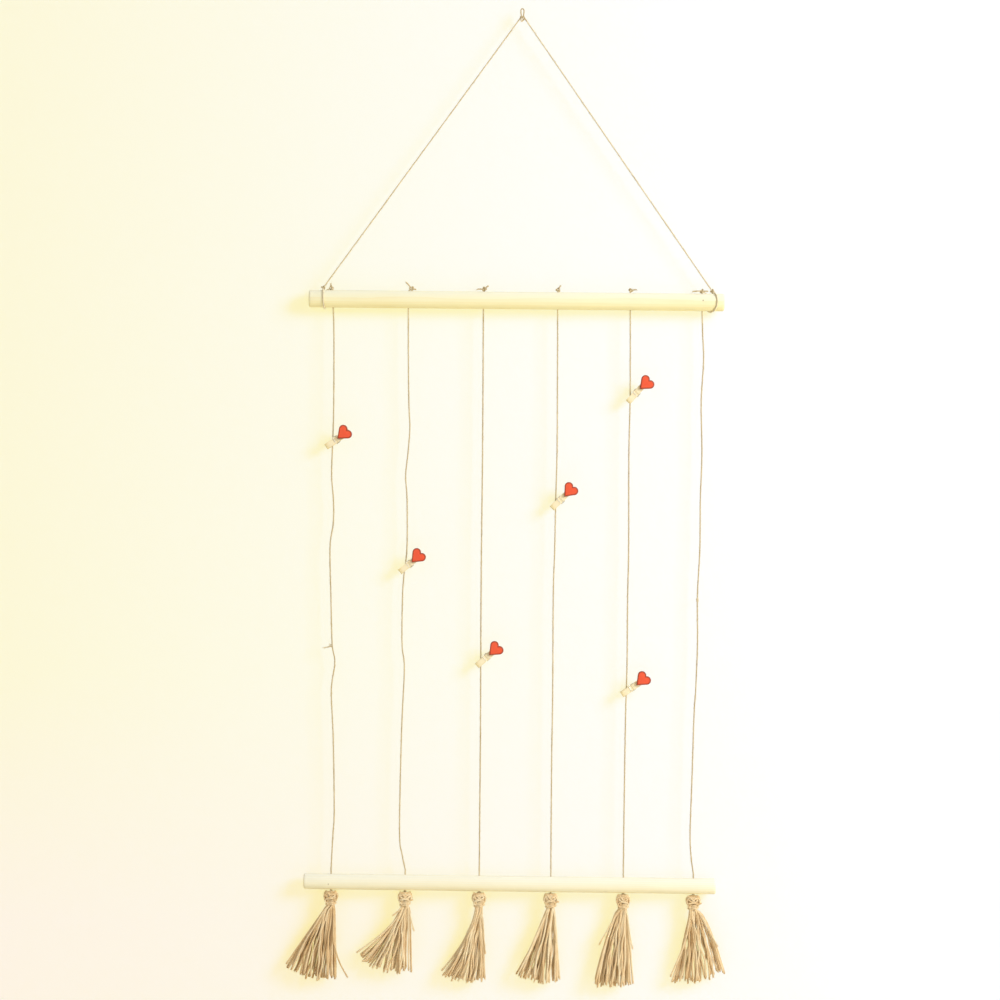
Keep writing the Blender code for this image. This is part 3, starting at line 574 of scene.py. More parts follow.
# The hanger: one longer twine, tied in a small loop for the nail. Each end goes once
# round the top dowel and is knotted on top of it.
LOOP_LENGTH = 0.0088
LOOP_GAP = 0.0024
LOOP_KNOT_WIDTH = 0.0070
LOOP_KNOT_HEIGHT = 0.0060
LEG_SPREAD = 0.0104
HITCH_KNOT_WIDTH = 0.0054
HITCH_KNOT_HEIGHT = 0.0050
HITCH_PITCH = 0.0030
HITCH_START = 30
HITCH_TAIL = 0.003
LEFT_HITCH = 0.034
RIGHT_HITCH = 0.9715
RIGHT_SLANT = 0.0060


def hitch_line(share, slant, side):
    """One turn round the dowel, from beside the knot on top to the tail behind."""
    reach = (TOP_DOWEL["width"] + TWINE_WIDTH) / 2 + KNOT_SEAT
    line = []
    for step in range(61):
        angle = math.radians(HITCH_START + (360 - 2 * HITCH_START) * step / 60)
        along = TOP_DOWEL["length"] * (share - 0.5) + slant * math.sin(angle)
        along -= side * HITCH_PITCH * step / 60
        line.append(
            dowel_frame(TOP_DOWEL) @ Vector((along, -math.sin(angle) * reach, math.cos(angle) * reach))
        )
    tail = Vector((-side * HITCH_TAIL / 2, -HITCH_PITCH, HITCH_PITCH / 2))
    line.append(line[-1] + tail)
    line.append(line[-1] + Vector((-side * HITCH_TAIL / 2, 0, 0)))
    return line


def hitch_knot(share):
    """The middle of the knot that holds a hitch, on top of the dowel."""
    height = (TOP_DOWEL["width"] + HITCH_KNOT_HEIGHT) / 2 + KNOT_SEAT
    return dowel_frame(TOP_DOWEL) @ Vector((TOP_DOWEL["length"] * (share - 0.5), 0, height))


left = hitch_knot(LEFT_HITCH)
right = hitch_knot(RIGHT_HITCH)
loop_knot = Vector((0, 0, -LOOP_LENGTH - LOOP_KNOT_HEIGHT / 2))
half = (LOOP_GAP + TWINE_WIDTH) / 2
crown = Vector((0, 0, TWINE_WIDTH / 2 - half))
loop = [Vector((-half / 2, 0, -LOOP_LENGTH)), Vector((-half, 0, -LOOP_LENGTH / 2))]
for step in range(13):
    angle = math.radians(180 - 15 * step)
    loop.append(crown + Vector((math.cos(angle), 0, math.sin(angle))) * half)
loop += [Vector((half, 0, -LOOP_LENGTH / 2)), Vector((half / 2, 0, -LOOP_LENGTH))]
throat = Vector((LEG_SPREAD / 2, 0, -LOOP_KNOT_HEIGHT / 2))
leave_left = loop_knot + Vector((-throat.x, 0, throat.z))
leave_right = loop_knot + throat
line = [*reversed(hitch_line(LEFT_HITCH, 0.0, -1)), left, leave_left, *loop, leave_right, right]
line += hitch_line(RIGHT_HITCH, RIGHT_SLANT, 1)
line, length = even_steps(line, TWINE_STEP)
for _ in range(24):
    line[1:-1] = (line[:-2] + line[1:-1] * 2 + line[2:]) / 4
line, length = even_steps(line, TWINE_STEP)
# Painted light along the hanger: its right leg is painted lighter, as if more strongly lit, and both
# wraps round the dowel are painted much lighter, the left one most. The loop is coloured darker.
tone = np.where(line[:, 0] < 0, 0.2, 1.0)
tone[line[:, 2] > -LOOP_LENGTH - LOOP_KNOT_HEIGHT] = -1.2
painted_light_wraps = line[:, 2] < 0.65 * TOP_DOWEL["width"] - TOP_DOWEL["drop"]
tone[painted_light_wraps] = np.where(line[painted_light_wraps, 0] < 0, 4.0, 2.2)
hanger = jute_piece(
    "hanger_twine",
    [
        twist_yarn(line, TWINE_WIDTH, TWINE_LAY, turn=0.4, tone=tone),
        loose_hairs(line, TWINE_WIDTH, *TWINE_HAIRS, seed=7),
    ],
    string_jute,
)
knots = []
for label, centre, width, deep, spin in (
    ("loop_knot", loop_knot, LOOP_KNOT_WIDTH, 1.3, 0.4),
    ("left_knot", left, HITCH_KNOT_WIDTH, 1.6, 1.9),
    ("right_knot", right, HITCH_KNOT_WIDTH, 1.6, -0.7),
):
    turn = Matrix.Rotation(spin, 3, "Y") @ Matrix.Rotation(0.5 * spin, 3, "Z")
    knot_line, _ = even_steps(overhand(centre, width, deep, turn, [], []), TWINE_STEP)
    parts = [
        twist_yarn(knot_line, TWINE_WIDTH, TWINE_LAY),
        loose_hairs(knot_line, TWINE_WIDTH, 26, 0.003, 0.0012, 70),
    ]
    knots.append(jute_piece(f"hanger_{label}", parts, string_jute))
for knot in knots:
    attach(knot, "hanger")
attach(hanger, "hanger")
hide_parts("hanger_cord")
line[::3].tolist() + [line[-1].tolist()]


# The strings' top knots: each string ends above the top dowel in an overhand knot that is
# too thick for its hole, with a short frayed tail that points its own way.
TOP_KNOT_WIDTH = 0.0056
TOP_KNOT_RISE = 0.0028
TAIL_BOW = 0.0008
BIGHT_WIDTH = 0.0019
KNOT_LOOKS = (
    {"aside": -0.0026, "tail": (95, 0.0035), "bight": (0, 0.0)},
    {"aside": 0.0038, "tail": (130, 0.0088), "bight": (-12, 0.0036)},
    {"aside": 0.0010, "tail": (178, 0.0072), "bight": (42, 0.0048)},
    {"aside": 0.0004, "tail": (62, 0.0045), "bight": (0, 0.0)},
    {"aside": 0.0004, "tail": (12, 0.0055), "bight": (0, 0.0)},
    {"aside": 0.0, "tail": (179, 0.0100), "bight": (2, 0.0052)},
)


def up_and_out(centre, angle, reach):
    """A short end of twine that stands out of a knot, at that angle over the dowel."""
    away = Vector((math.cos(math.radians(angle)), -0.15, math.sin(math.radians(angle)))).normalized()
    droop = Vector((0, 0, -TAIL_BOW * reach / 0.010))
    root, middle, end = (centre + away * far for far in (0.0020, 0.0020 + reach / 2, 0.0020 + reach))
    return [root, middle, end + droop]


for index, (share, look) in enumerate(zip(TOP_HOLES, KNOT_LOOKS)):
    number = index + 1
    mouth = over_hole(TOP_DOWEL, share, TOP_DOWEL["width"] / 2)
    aside = share + look["aside"] / TOP_DOWEL["length"]
    centre = over_hole(TOP_DOWEL, aside, TOP_DOWEL["width"] / 2 + TOP_KNOT_RISE)
    turn = Matrix.Rotation(0.9 * number, 3, "Y") @ Matrix.Rotation(0.5 * math.sin(3.0 * number), 3, "X")
    tail = up_and_out(centre, *look["tail"])
    line, _ = even_steps(overhand(centre, TOP_KNOT_WIDTH, 1.5, turn, [mouth], tail), TWINE_STEP)
    from_end = np.arange(len(line))[::-1] * TWINE_STEP
    taper = np.interp(from_end, (0, 0.002, 0.006), (0.0013, 0.0019, 0.0016))
    parts = [
        twist_yarn(line, taper, TWINE_LAY, turn=number, tone=-0.7),
        loose_hairs(line, TWINE_WIDTH, 46, 0.0035, 0.0013, seed=80 + number),
        loose_hairs(line[-9:], TWINE_WIDTH, 16, 0.0045, 0.0010, seed=90 + number),
    ]
    if look["bight"][1]:
        line, _ = even_steps(eased([centre, *up_and_out(centre, *look["bight"])]), TWINE_STEP)
        parts.append(twist_yarn(line, BIGHT_WIDTH, TWINE_LAY, tone=-0.5))
        parts.append(loose_hairs(line, TWINE_WIDTH, 16, 0.0030, 0.0010, seed=100 + number))
    knot = jute_piece(f"string_{number}_top_knot", parts, string_jute)
    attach(knot, "hanger")
    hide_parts(f"string_knot_{number}")


# The two dowels: turned pine rods, sanded smooth, with rounded ends and six holes drilled
# straight down through each. Nothing fixes them but the twines that they carry.
END_ROUND = 0.0022
HOLE_WIDTH = 0.0028
HOLE_EDGE = 0.00025
WEAR = 0.00004
WORN_PLACES = (0.12, 0.33, 0.51, 0.69, 0.87)
RING_PITCH = 0.0024


def turn_dowel(name, dowel, holes):
    """A rod drawn out from a disc, ring by ring, then drilled."""
    wide = dowel["width"] / 2
    bpy.ops.mesh.primitive_circle_add(vertices=96, radius=wide - END_ROUND, fill_type="NGON")
    rod = bpy.context.object
    rod.name = name
    bpy.ops.object.mode_set(mode="EDIT")
    bpy.ops.mesh.select_all(action="SELECT")
    rounding = []
    for angle in np.radians([15, 30, 45, 60, 75, 90]):
        rounding.append((END_ROUND * (1 - math.cos(angle)), wide - END_ROUND * (1 - math.sin(angle))))
    stops = rounding.copy()
    for share in sorted([*holes, *WORN_PLACES]):
        wear = WEAR * math.sin(37 * share * dowel["length"] / 0.1)
        at = dowel["length"] * share
        stops += [(at - 0.004, wide + wear), (at + 0.004, wide - wear)]
    stops += [(dowel["length"] - height, reach) for height, reach in reversed(rounding)]
    stops.append((dowel["length"], wide - END_ROUND))
    at, size = 0.0, wide - END_ROUND
    for height, reach in stops:
        bpy.ops.mesh.extrude_region_move(TRANSFORM_OT_translate={"value": (0, 0, height - at)})
        bpy.ops.transform.resize(value=(reach / size, reach / size, 1), center_override=(0, 0, height))
        at, size = height, reach
    bpy.ops.mesh.select_all(action="SELECT")
    bpy.ops.mesh.normals_make_consistent(inside=False)
    bpy.ops.object.mode_set(mode="OBJECT")
    lying = Matrix.Rotation(math.radians(90), 4, "Y")
    rod.matrix_world = dowel_frame(dowel) @ lying @ Matrix.Translation((0, 0, -dowel["length"] / 2))
    bpy.ops.object.transform_apply(location=True, rotation=True, scale=True)
    drills = []
    for share in holes:
        bpy.ops.mesh.primitive_cylinder_add(
            vertices=32, radius=HOLE_WIDTH / 2, depth=dowel["width"] * 2,
            location=over_hole(dowel, share, 0), rotation=(0, math.radians(dowel["tilt"]), 0),
        )
        drills.append(bpy.context.object)
    for drill in drills:
        bpy.ops.object.select_all(action="DESELECT")
        bpy.context.view_layer.objects.active = rod
        cut = rod.modifiers.new("drill", "BOOLEAN")
        cut.operation = "DIFFERENCE"
        cut.solver = "EXACT"
        cut.object = drill
        bpy.ops.object.modifier_apply(modifier=cut.name)
        bpy.data.objects.remove(drill)
    edge = rod.modifiers.new("hole_edge", "BEVEL")
    edge.width = HOLE_EDGE
    edge.segments = 2
    edge.angle_limit = math.radians(50)
    bpy.ops.object.modifier_apply(modifier=edge.name)
    rod.select_set(True)
    bpy.ops.object.shade_smooth_by_angle(angle=math.radians(38))
    bpy.ops.object.select_all(action="DESELECT")
    return rod


def drawn_out(place, share):
    """The same place with its X shortened, so that a texture on it runs along X."""
    return place.node("ShaderNodeVectorMath", {"operation": "MULTIPLY"}, {0: place, 1: (share, 1, 1)})


def pine_finish(name, dowel, pith, lower, upper, pin_knot, knot_size):
    """Sanded pale pine: faint growth rings round a pith outside the rod, and long fine fibres.

    The sawn ends are browner, as the grain stands on end there.
    lower and upper are each a light and a dark tone; the colour runs between them by height, as painted
    light on the top and painted shade on the underside.
    pin_knot is the place of one small dark knot in the wood.
    """
    made, start = new_finish(name)
    place = start.node("ShaderNodeTexCoord", output=3)
    own = start.node(
        "ShaderNodeMapping", {"vector_type": "TEXTURE"},
        {
            "Vector": place, "Location": (dowel["side"], pith[0], pith[1] - dowel["drop"]),
            "Rotation": (0, math.radians(dowel["tilt"]), 0),
        },
    )
    drift = noise(drawn_out(own, 0.05), 120.0, 2.0)
    far = start.node("ShaderNodeVectorMath", {"operation": "LENGTH"}, {0: drawn_out(own, 0.012)}, 1)
    ring = start.sum("FRACT", far / RING_PITCH + drift * 1.5)
    late = start.sum("POWER", ring, 3.0)
    fine = noise(drawn_out(own, 0.02), 1700.0, 3.0)
    cloud = noise(place, 9.0, 2.0)
    shade = late * 0.50 + (fine - 0.5) * 0.5 + (cloud - 0.5) * 0.6 + 0.20
    # Painted light and shade: paler towards the rod's top, darker and yellower towards its underside.
    painted_shade_end, painted_light_end = (share * dowel["width"] - pith[1] for share in (-0.35, 0.40))
    height = rising(coordinate(own, 2), painted_shade_end, painted_light_end)
    colour = two_tone(shade, two_tone(height, lower[0], upper[0]), two_tone(height, lower[1], upper[1]))
    off_middle = start.sum("ABSOLUTE", coordinate(own, 0))
    sawn = rising(off_middle, dowel["length"] / 2 - 0.0002, dowel["length"] / 2 - 0.00005)
    colour = two_tone(sawn, colour, two_tone(shade, srgb(236, 214, 158), srgb(202, 172, 112)))
    off = start.node("ShaderNodeVectorMath", {"operation": "DISTANCE"}, {0: place, 1: pin_knot}, 1)
    colour = two_tone(1.0 - off / knot_size - fine * 0.3, colour, srgb(150, 122, 70))
    relief = fine * 0.7 + late * 0.3
    surface(start, colour, 0.50 + fine * 0.16, relief, 0.25, 0.0001, 0.30)
    return made


# Each dowel's tones: the lower pair is painted shade for the underside, the upper pair is painted light
# for the top.
for name, dowel, holes, pith, tones, pin_knot, knot_size, body in (
    (
        "top_dowel", TOP_DOWEL, TOP_HOLES, (0.024, -0.017),
        ((srgb(255, 249, 198), srgb(250, 233, 170)), (srgb(254, 253, 232), srgb(250, 243, 208))),
        (0.2169, -0.0105, -0.3519), 0.0016, "hanger",
    ),
    (
        "bottom_dowel", BOTTOM_DOWEL, BOTTOM_HOLES, (-0.010, -0.029),
        ((srgb(255, 251, 219), srgb(252, 238, 193)), (srgb(254, 253, 238), srgb(251, 246, 220))),
        (-0.2334, -0.0093, -1.0532), 0.0013, "curtain",
    ),
):
    rod = turn_dowel(f"{name}_rod", dowel, holes)
    rod.data.materials.append(pine_finish(f"{name}_pine", dowel, pith, *tones, pin_knot, knot_size))
    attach(rod, body)
    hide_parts(name)


# The six tassels: each is twenty-four jute strands folded over the string's end knot. Their
# forty-eight ends hang down as a skirt, blunt cut and frayed, each tassel in its own way.
STRAND_WIDTH = 0.0024
STRAND_STEP = 0.0010
STRAND_LAY = 0.0105
HEAD_HALF = 0.0074
NECK_DROP = 0.0125
NECK_HALF = 0.0042
SKIRT_LENGTH = 0.090
SKIRT_HALF_DEPTH = 0.0078
LEANS = (-0.275, -0.28, -0.21, -0.17, -0.13, 0.055)
SPREADS = (0.345, 0.36, 0.30, 0.300, 0.26, 0.375)
LEFT_LENGTHS = (1.03, 0.94, 1.02, 1.00, 1.09, 1.00)
RIGHT_LENGTHS = (0.99, 0.88, 1.00, 1.00, 1.00, 0.93)
LEFT_BENDS = (1.0, 1.5, 1.6, 1.15, 0.60, 1.5)
RIGHT_BENDS = (0.45, 0.35, 0.8, 0.6, 0.9, 0.55)
TONES = (-0.25, 0.6, 0.85, 0.75, 0.7, 0.2)
SWAYS = ((0.0009, 0.0023), (4.5, 9.5), (0, 6.3), (4, 9))
TIE_WIDTH = 0.0021
TIE_TURNS = 2.6
TIE_HALF = 0.0056
TIE_TOP = 0.0068
TIE_FALL = 0.0052
TIE_END = ((0.0030, -0.0050, -0.0062), (0.0066, -0.0058, -0.0050), (0.0098, -0.0052, -0.0046))
STRAYS = (
    ((0.0040, -0.0460, -0.006, 1.0), (0.0210, -0.0870, -0.004, 3.2)),
    ((-0.0150, -0.0110, -0.0075, 1.0), (0.0120, -0.0300, -0.005, 0.8)),
    ((0.0085, -0.0560, -0.006, 1.0),),
    ((0.0080, -0.0420, -0.007, 0.8), (0.0060, -0.0880, 0.0, 1.2)),
    ((0.0120, -0.0480, -0.006, 0.9), (-0.0300, -0.0430, -0.006, 0.9)),
    ((0.0290, -0.0440, -0.006, 0.8),),
)
FOLDS = (
    (-1, "over", 1), (-1, "over", -1), (1, "over", 1), (1, "over", -1),
    (-1, "band", 1), (-1, "band", -0.9),
    (-0.0050, "arch", 0.62), (-0.0046, "arch", 1.0), (-0.0040, "arch", 0.30), (-0.0034, "arch", 0.80),
    (-0.0026, "arch", 0.50), (-0.0018, "arch", 0.95), (-0.0009, "left", 1.0), (0.0009, "left", 1.0),
    (0.0000, "left", 0.8), (-0.0009, "right", 1.0), (0.0009, "right", 1.0), (0.0000, "right", 0.8),
    (0.0018, "arch", 0.95), (0.0026, "arch", 0.50), (0.0034, "arch", 0.80), (0.0040, "arch", 0.30),
    (0.0046, "arch", 1.0), (0.0050, "arch", 0.62),
)


def skirt_line(root, tip, bend, sway):
    """From the neck down to a strand's end, spreading and swaying as it goes."""
    points = []
    for step in range(1, 17):
        share = step / 16
        loose = min(1.0, 2.6 * share)
        aside = math.sin(sway[1] * share + sway[2]) - math.sin(sway[2])
        aside += 0.22 * math.sin(23 * share + 3 * sway[2])
        across = 0.6 * sway[0] * math.sin(sway[3] * share + 2 * sway[2])
        points.append(
            Vector(
                (
                    root.x + (tip.x - root.x) * share**bend + sway[0] * aside * loose,
                    root.y + (tip.y - root.y) * share**0.8 + across * loose,
                    root.z + (tip.z - root.z) * share,
                )
            )
        )
    return points


def fold_line(depth, kind, size, head):
    """A strand's way over the head, from one side of the neck to the other."""
    low = -NECK_DROP
    rise = math.sqrt(max(head**2 - depth**2, 0)) - STRAND_WIDTH / 2 - 0.0003
    near = depth * 0.85
    if kind == "over":
        way = [
            (-0.0030, 0.0034, low), (-0.0034, 0.0042, low + 0.0030), (-0.0034, 0.0058, -0.0052),
            (0.0002, 0.0063, -0.0012), (0.0036, 0.0050, 0.0020), (0.0062, 0.0018, 0.0010),
            (0.0068, 0.0006, -0.0030), (0.0040, 0.0016, low + 0.0030), (0.0036, 0.0018, low),
        ]
        return [Vector((size * x, depth * y, z)) for x, y, z in way]
    if kind == "band":
        way = [
            (-0.0022, 0.0040, low), (-0.0040, 0.0046, low + 0.0026), (-0.0062, 0.0052, -0.0072),
            (-0.0050, 0.0064, -0.0046), (0.0002, 0.0068, -0.0038), (0.0050, 0.0058, -0.0012),
            (0.0066, 0.0030, 0.0004), (0.0066, 0.0010, -0.0040), (0.0038, 0.0018, low + 0.0030),
            (0.0034, 0.0020, low),
        ]
        return [Vector((size * x, depth * y, z)) for x, y, z in way]
    if kind == "arch":
        wide = HEAD_HALF * size
        foot = NECK_HALF * size * 0.8
        top = rise * (0.35 + 0.65 * size)
        half = [
            (foot, low), (foot, low + 0.0030), (wide * 0.92, low + 0.0072), (wide, -0.0005),
            (wide * 0.72, top * 0.72),
        ]
        return [
            *(Vector((-x, near if z < -0.006 else depth, z)) for x, z in half),
            Vector((0, depth, top)),
            *(Vector((x, near if z < -0.006 else depth, z)) for x, z in reversed(half)),
        ]
    side = -1 if kind == "left" else 1
    outer, inner = HEAD_HALF * (0.55 + 0.45 * size), 0.0030
    way = [
        (NECK_HALF * 0.9, low), (NECK_HALF * 0.9, low + 0.0030), (outer * 0.95, low + 0.0075),
        (outer, -0.0005), ((outer + inner) / 2, rise * size), (inner, -0.0005),
        (0.0016, low + 0.0060), (0.0012, low + 0.0030), (0.0012, low),
    ]
    return [Vector((side * x, near if z < -0.006 else depth, z)) for x, z in way]


tassel_jute = jute_finish("tassel_jute", srgb(152, 107, 52), srgb(236, 201, 147), srgb(255, 241, 207))
for index in range(6):
    number = index + 1
    rng = np.random.default_rng(300 + number)
    bottom = BOTTOM_DOWEL["width"] / 2 + KNOT_SEAT + END_KNOT_WIDTH + STRING_TAIL
    origin = over_hole(BOTTOM_DOWEL, BOTTOM_HOLES[index], -bottom)
    head = bottom - BOTTOM_DOWEL["width"] / 2 - KNOT_SEAT
    lean = LEANS[index] * SKIRT_LENGTH
    spread = SPREADS[index] * SKIRT_LENGTH
    folds = []
    for fold in FOLDS:
        shift = Vector((rng.uniform(-0.0005, 0.0005), 0, rng.uniform(-0.0006, 0)))
        folds.append([p + shift * (1 + p.z / NECK_DROP) for p in fold_line(*fold, head)])
    ends = [(k, end) for k in range(len(folds)) for end in (0, -1)]
    order = sorted(ends, key=lambda e: folds[e[0]][e[1]].x + rng.uniform(-0.0022, 0.0022))
    parts = []
    tips = {}
    for rank, (k, end) in enumerate(order):
        share = (rank + 0.5) / len(order)
        root = folds[k][end]
        aside = lean + spread * (2 * share - 1) * 0.97 + rng.uniform(-0.0020, 0.0020)
        long = LEFT_LENGTHS[index] + (RIGHT_LENGTHS[index] - LEFT_LENGTHS[index]) * share
        long *= SKIRT_LENGTH * (1 + rng.uniform(-0.065, 0.025))
        deep = root.y / 0.0042 * SKIRT_HALF_DEPTH * rng.uniform(0.55, 1.0) + rng.uniform(-0.001, 0.001)
        deep = max(-SKIRT_HALF_DEPTH, min(SKIRT_HALF_DEPTH, deep))
        tip = Vector((aside, deep, root.z - math.sqrt(long**2 - aside**2)))
        bend = LEFT_BENDS[index] + (RIGHT_BENDS[index] - LEFT_BENDS[index]) * share
        bend += rng.uniform(-0.12, 0.12)
        inward = 1 - abs(2 * share - 1) ** 3
        sway = [rng.uniform(low, high) for low, high in SWAYS]
        sway[0] *= inward
        tips[k, end] = skirt_line(root, tip, bend, sway)
    for side, rise, front, bend in STRAYS[index]:
        root = Vector((0.0030 if side > 0 else -0.0020, -0.0036, -NECK_DROP))
        tip = Vector((side, front, root.z + rise))
        loose = skirt_line(root, tip, bend, (0.0005, 5.0, side * 90, 6.0))
        tips[len(folds), side] = [root + Vector((0, 0.0010, 0.004)), root, *loose]
    lines = [[*reversed(tips[k, 0]), *fold, *tips[k, -1]] for k, fold in enumerate(folds)]
    lines += [way for (k, _), way in tips.items() if k == len(folds)]
    for k, way in enumerate(lines):
        line, _ = even_steps([p + origin for p in eased(way, 8)], STRAND_STEP)
        height = line[:, 2] - origin.z
        thick = STRAND_WIDTH * rng.uniform(0.88, 1.08)
        widths = (thick, thick * 0.90, 0.0017, 0.0018, 0.0022)
        width = np.interp(height, (-0.026, -0.015, -0.011, -0.007, -0.003), widths)
        from_end = np.arange(len(line))[::-1] * STRAND_STEP
        if k < len(folds):
            from_end = np.minimum(from_end, from_end[::-1])
        else:
            width = width * 0.75
        width = width * np.interp(from_end, (0, 0.0012, 0.0045), (0.70, 1.0, 1.0))
        tone = TONES[index] + rng.uniform(-1, 1)
        tone -= 1.1 * np.interp(from_end, (0, 0.002, 0.007), (1, 0.7, 0))
        lay = STRAND_LAY * rng.uniform(0.9, 1.15)
        parts.append(twist_yarn(line, width, lay, rng.uniform(0, 6), tone, 0.22))
        parts.append(loose_hairs(line, STRAND_WIDTH, 34, 0.007, 0.0014, seed=1000 * number + k))
        parts.append(loose_hairs(line[-6:], STRAND_WIDTH, 14, 0.0040, 0.0012, seed=2000 * number + k))
        if k < len(folds):
            parts.append(loose_hairs(line[:6], STRAND_WIDTH, 14, 0.0040, 0.0012, seed=3000 * number + k))
    tassel = jute_piece(f"tassel_{number}_strands", parts, tassel_jute)
    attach(tassel, f"tassel_{number}")
    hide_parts(f"tassel_{number}")

    # The tie is a strand wound slantwise round the neck, with its end left standing on some.
    wound = []
    for step in range(97):
        angle = math.tau * TIE_TURNS * step / 96 - 0.6
        slant = 0.0011 * math.sin(angle)
        reach = TIE_HALF + 0.0003 * math.sin(5 * angle)
        drop = -TIE_TOP - TIE_FALL * step / 96 + slant
        wound.append(origin + Vector((reach * 1.04 * math.sin(angle), -reach * math.cos(angle), drop)))
    line, _ = even_steps(wound, STRAND_STEP)
    tie_parts = [
        twist_yarn(line, TIE_WIDTH, STRAND_LAY, tone=0.6, groove=0.2),
        loose_hairs(line, TIE_WIDTH, 50, 0.004, 0.0012, seed=500 + number),
    ]
    if number in (2, 4, 6):
        line, _ = even_steps(eased([origin + Vector(place) for place in TIE_END]), STRAND_STEP)
        tie_parts.append(twist_yarn(line, 0.0020, STRAND_LAY, tone=-0.5, groove=0.2))
        tie_parts.append(loose_hairs(line, 0.0020, 24, 0.003, 0.0012, seed=520 + number))
    tie = jute_piece(f"tassel_{number}_wrap", tie_parts, tassel_jute)
    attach(tie, f"tassel_{number}")
    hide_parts(f"tassel_{number}_tie")


# The six pegs: small birch spring pegs, two levers each, that meet on a wire spring. Each
# grips its string aslant, its jaws down at the left and its handle up at the right.
PEG_LENGTH = 0.034
PEG_JAW = 0.016
PEG_WIDTH = 0.0070
LEVER_THICK = 0.0034
LEVER_EDGE = 0.00022
JAW_GAP = 0.0022
PEG_STRINGS = (0, 1, 2, 3, 4, 4)
PEG_DROPS = (0.2405, 0.4624, 0.6295, 0.3471, 0.1593, 0.6782)
PEG_SLANTS = (34, 39, 41, 44, 48, 34)
PEG_GRIPS = (0.28, 0.23, 0.18, 0.19, 0.11, 0.20)


def peg_frame(index):
    """The peg's own axes: from the coil's middle, X to the handle, Y back, Z across."""
    string = PEG_STRINGS[index]
    leave, *_, lead = free_run(string)
    grip = on_string(string, leave.z + (lead.z - leave.z) * PEG_DROPS[index])
    slant = math.radians(PEG_SLANTS[index])
    along = Vector((math.cos(slant), 0, math.sin(slant)))
    pivot = grip + along * (PEG_JAW - PEG_GRIPS[index] * PEG_LENGTH)
    return Matrix.Translation(pivot) @ Matrix.Rotation(-slant, 4, "Y")


def birch_finish(name, pose):
    """Bare sawn birch: fine flecks and pores along the lever, and the jaws' ends painted darker and
    browner, as painted shade.
    """
    made, start = new_finish(name)
    place = start.node("ShaderNodeTexCoord", output=3)
    own = start.node(
        "ShaderNodeMapping", {"vector_type": "TEXTURE"},
        {"Vector": place, "Location": tuple(pose.translation), "Rotation": tuple(pose.to_euler())},
    )
    long = drawn_out(own, 0.10)
    grain = noise(long, 1500.0, 4.0, 0.4)
    flecks = start.node("ShaderNodeTexVoronoi", None, {"Vector": long, "Scale": 2600.0})
    pore = start.sum("LESS_THAN", flecks, 0.12)
    band = noise(long, 330.0, 1.0)
    # Painted shade: the last few millimetres of the jaws are painted darker and browner.
    painted_jaw_shade = rising(coordinate(own, 0), -0.0095, -0.015)
    shade = (grain - 0.5) * 0.9 + (band - 0.5) * 0.8 + pore * 0.22 + painted_jaw_shade * 0.42 + 0.38
    colour = start.node(
        "ShaderNodeValToRGB",
        {"stops": ((0.0, srgb(254, 244, 212)), (0.5, srgb(249, 234, 192)), (1.0, srgb(226, 206, 143)))},
        {"Fac": shade},
    )
    relief = grain - pore * 0.5
    surface(start, colour, 0.58 + grain * 0.16, relief, 0.35, 0.00012, 0.30)
    return made


for index in range(6):
    birch = birch_finish(f"peg_{index + 1}_birch", peg_frame(index))
    for half_name in ("rear_lever", "front_lever"):
        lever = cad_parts[f"clip_{index + 1}_{half_name}"]
        weld = lever.modifiers.new("one_skin", "WELD")
        weld.merge_threshold = 0.000002
        eased_edge = lever.modifiers.new("sanded_edge", "BEVEL")
        eased_edge.width = LEVER_EDGE
        eased_edge.segments = 2
        eased_edge.angle_limit = math.radians(32)
        eased_edge.harden_normals = True
        lever.data.materials.clear()
        lever.data.materials.append(birch)


# The pegs' springs: one piece of bright steel wire each, wound four times round between
# the levers, with an arm bent over each lever's outer groove.
WIRE_WIDTH = 0.0009
WIRE_STEP = 0.00028
COIL_HALF = 0.00185
COIL_TURNS = 4
ARM_REACH = 0.0036
ARM_GAP = 0.00025
ARM_INSET = 0.0006
GROOVE_PLACE = 0.0022
GROOVE_HALF = 0.0036
GROOVE_DEPTH = 0.0008
ARM_BEND = 0.0009


def wire_line():
    """The wire in the peg's own axes, from the arm over the rear lever to the front one's."""
    outer = JAW_GAP / 2 + LEVER_THICK
    aside = ARM_REACH - GROOVE_PLACE
    floor_level = outer + GROOVE_HALF - GROOVE_DEPTH - math.sqrt(GROOVE_HALF**2 - aside**2)
    lift = floor_level + WIRE_WIDTH / 2 + ARM_GAP
    side = PEG_WIDTH / 2 + WIRE_WIDTH / 2 + ARM_GAP
    corner = Vector((-ARM_REACH, -lift, 0))
    leave = math.atan2(lift, -ARM_REACH) - math.acos(COIL_HALF / corner.length)
    turned = 2 * leave + math.tau * COIL_TURNS
    coil = []
    for step in range(161):
        angle = turned * step / 160 - leave
        place = Vector((math.cos(angle), -math.sin(angle), 0)) * COIL_HALF
        coil.append(place + Vector((0, 0, side * (2 * step / 160 - 1))))

    def arm(edge):
        foot = coil[-1] if edge > 0 else coil[0]
        turn = Vector((corner.x, corner.y * edge, side * edge))
        toward = (turn - foot).normalized()
        across = Vector((0, 0, -edge))
        points = [foot.lerp(turn, share) for share in (0.25, 0.5)]
        for bend in np.radians([0, 15, 30, 45, 60, 75, 90]):
            points.append(
                turn - toward * ARM_BEND * (1 - math.sin(bend)) + across * ARM_BEND * (1 - math.cos(bend))
            )
        points.append(Vector((turn.x, turn.y, -edge * (PEG_WIDTH / 2 - ARM_INSET))))
        return points

    return [*reversed(arm(-1)), *coil, *arm(1)], side


steel, start = new_finish("spring_steel_wire")
place = start.node("ShaderNodeTexCoord", output=3)
drawn = noise(place, 2200.0, 3.0)
dull = noise(place, 420.0, 2.0)
colour = two_tone(dull, srgb(234, 230, 218), srgb(204, 196, 180))
surface(start, colour, 0.34 + dull * 0.18, drawn, 0.2, 0.00005, Metallic=1.0)

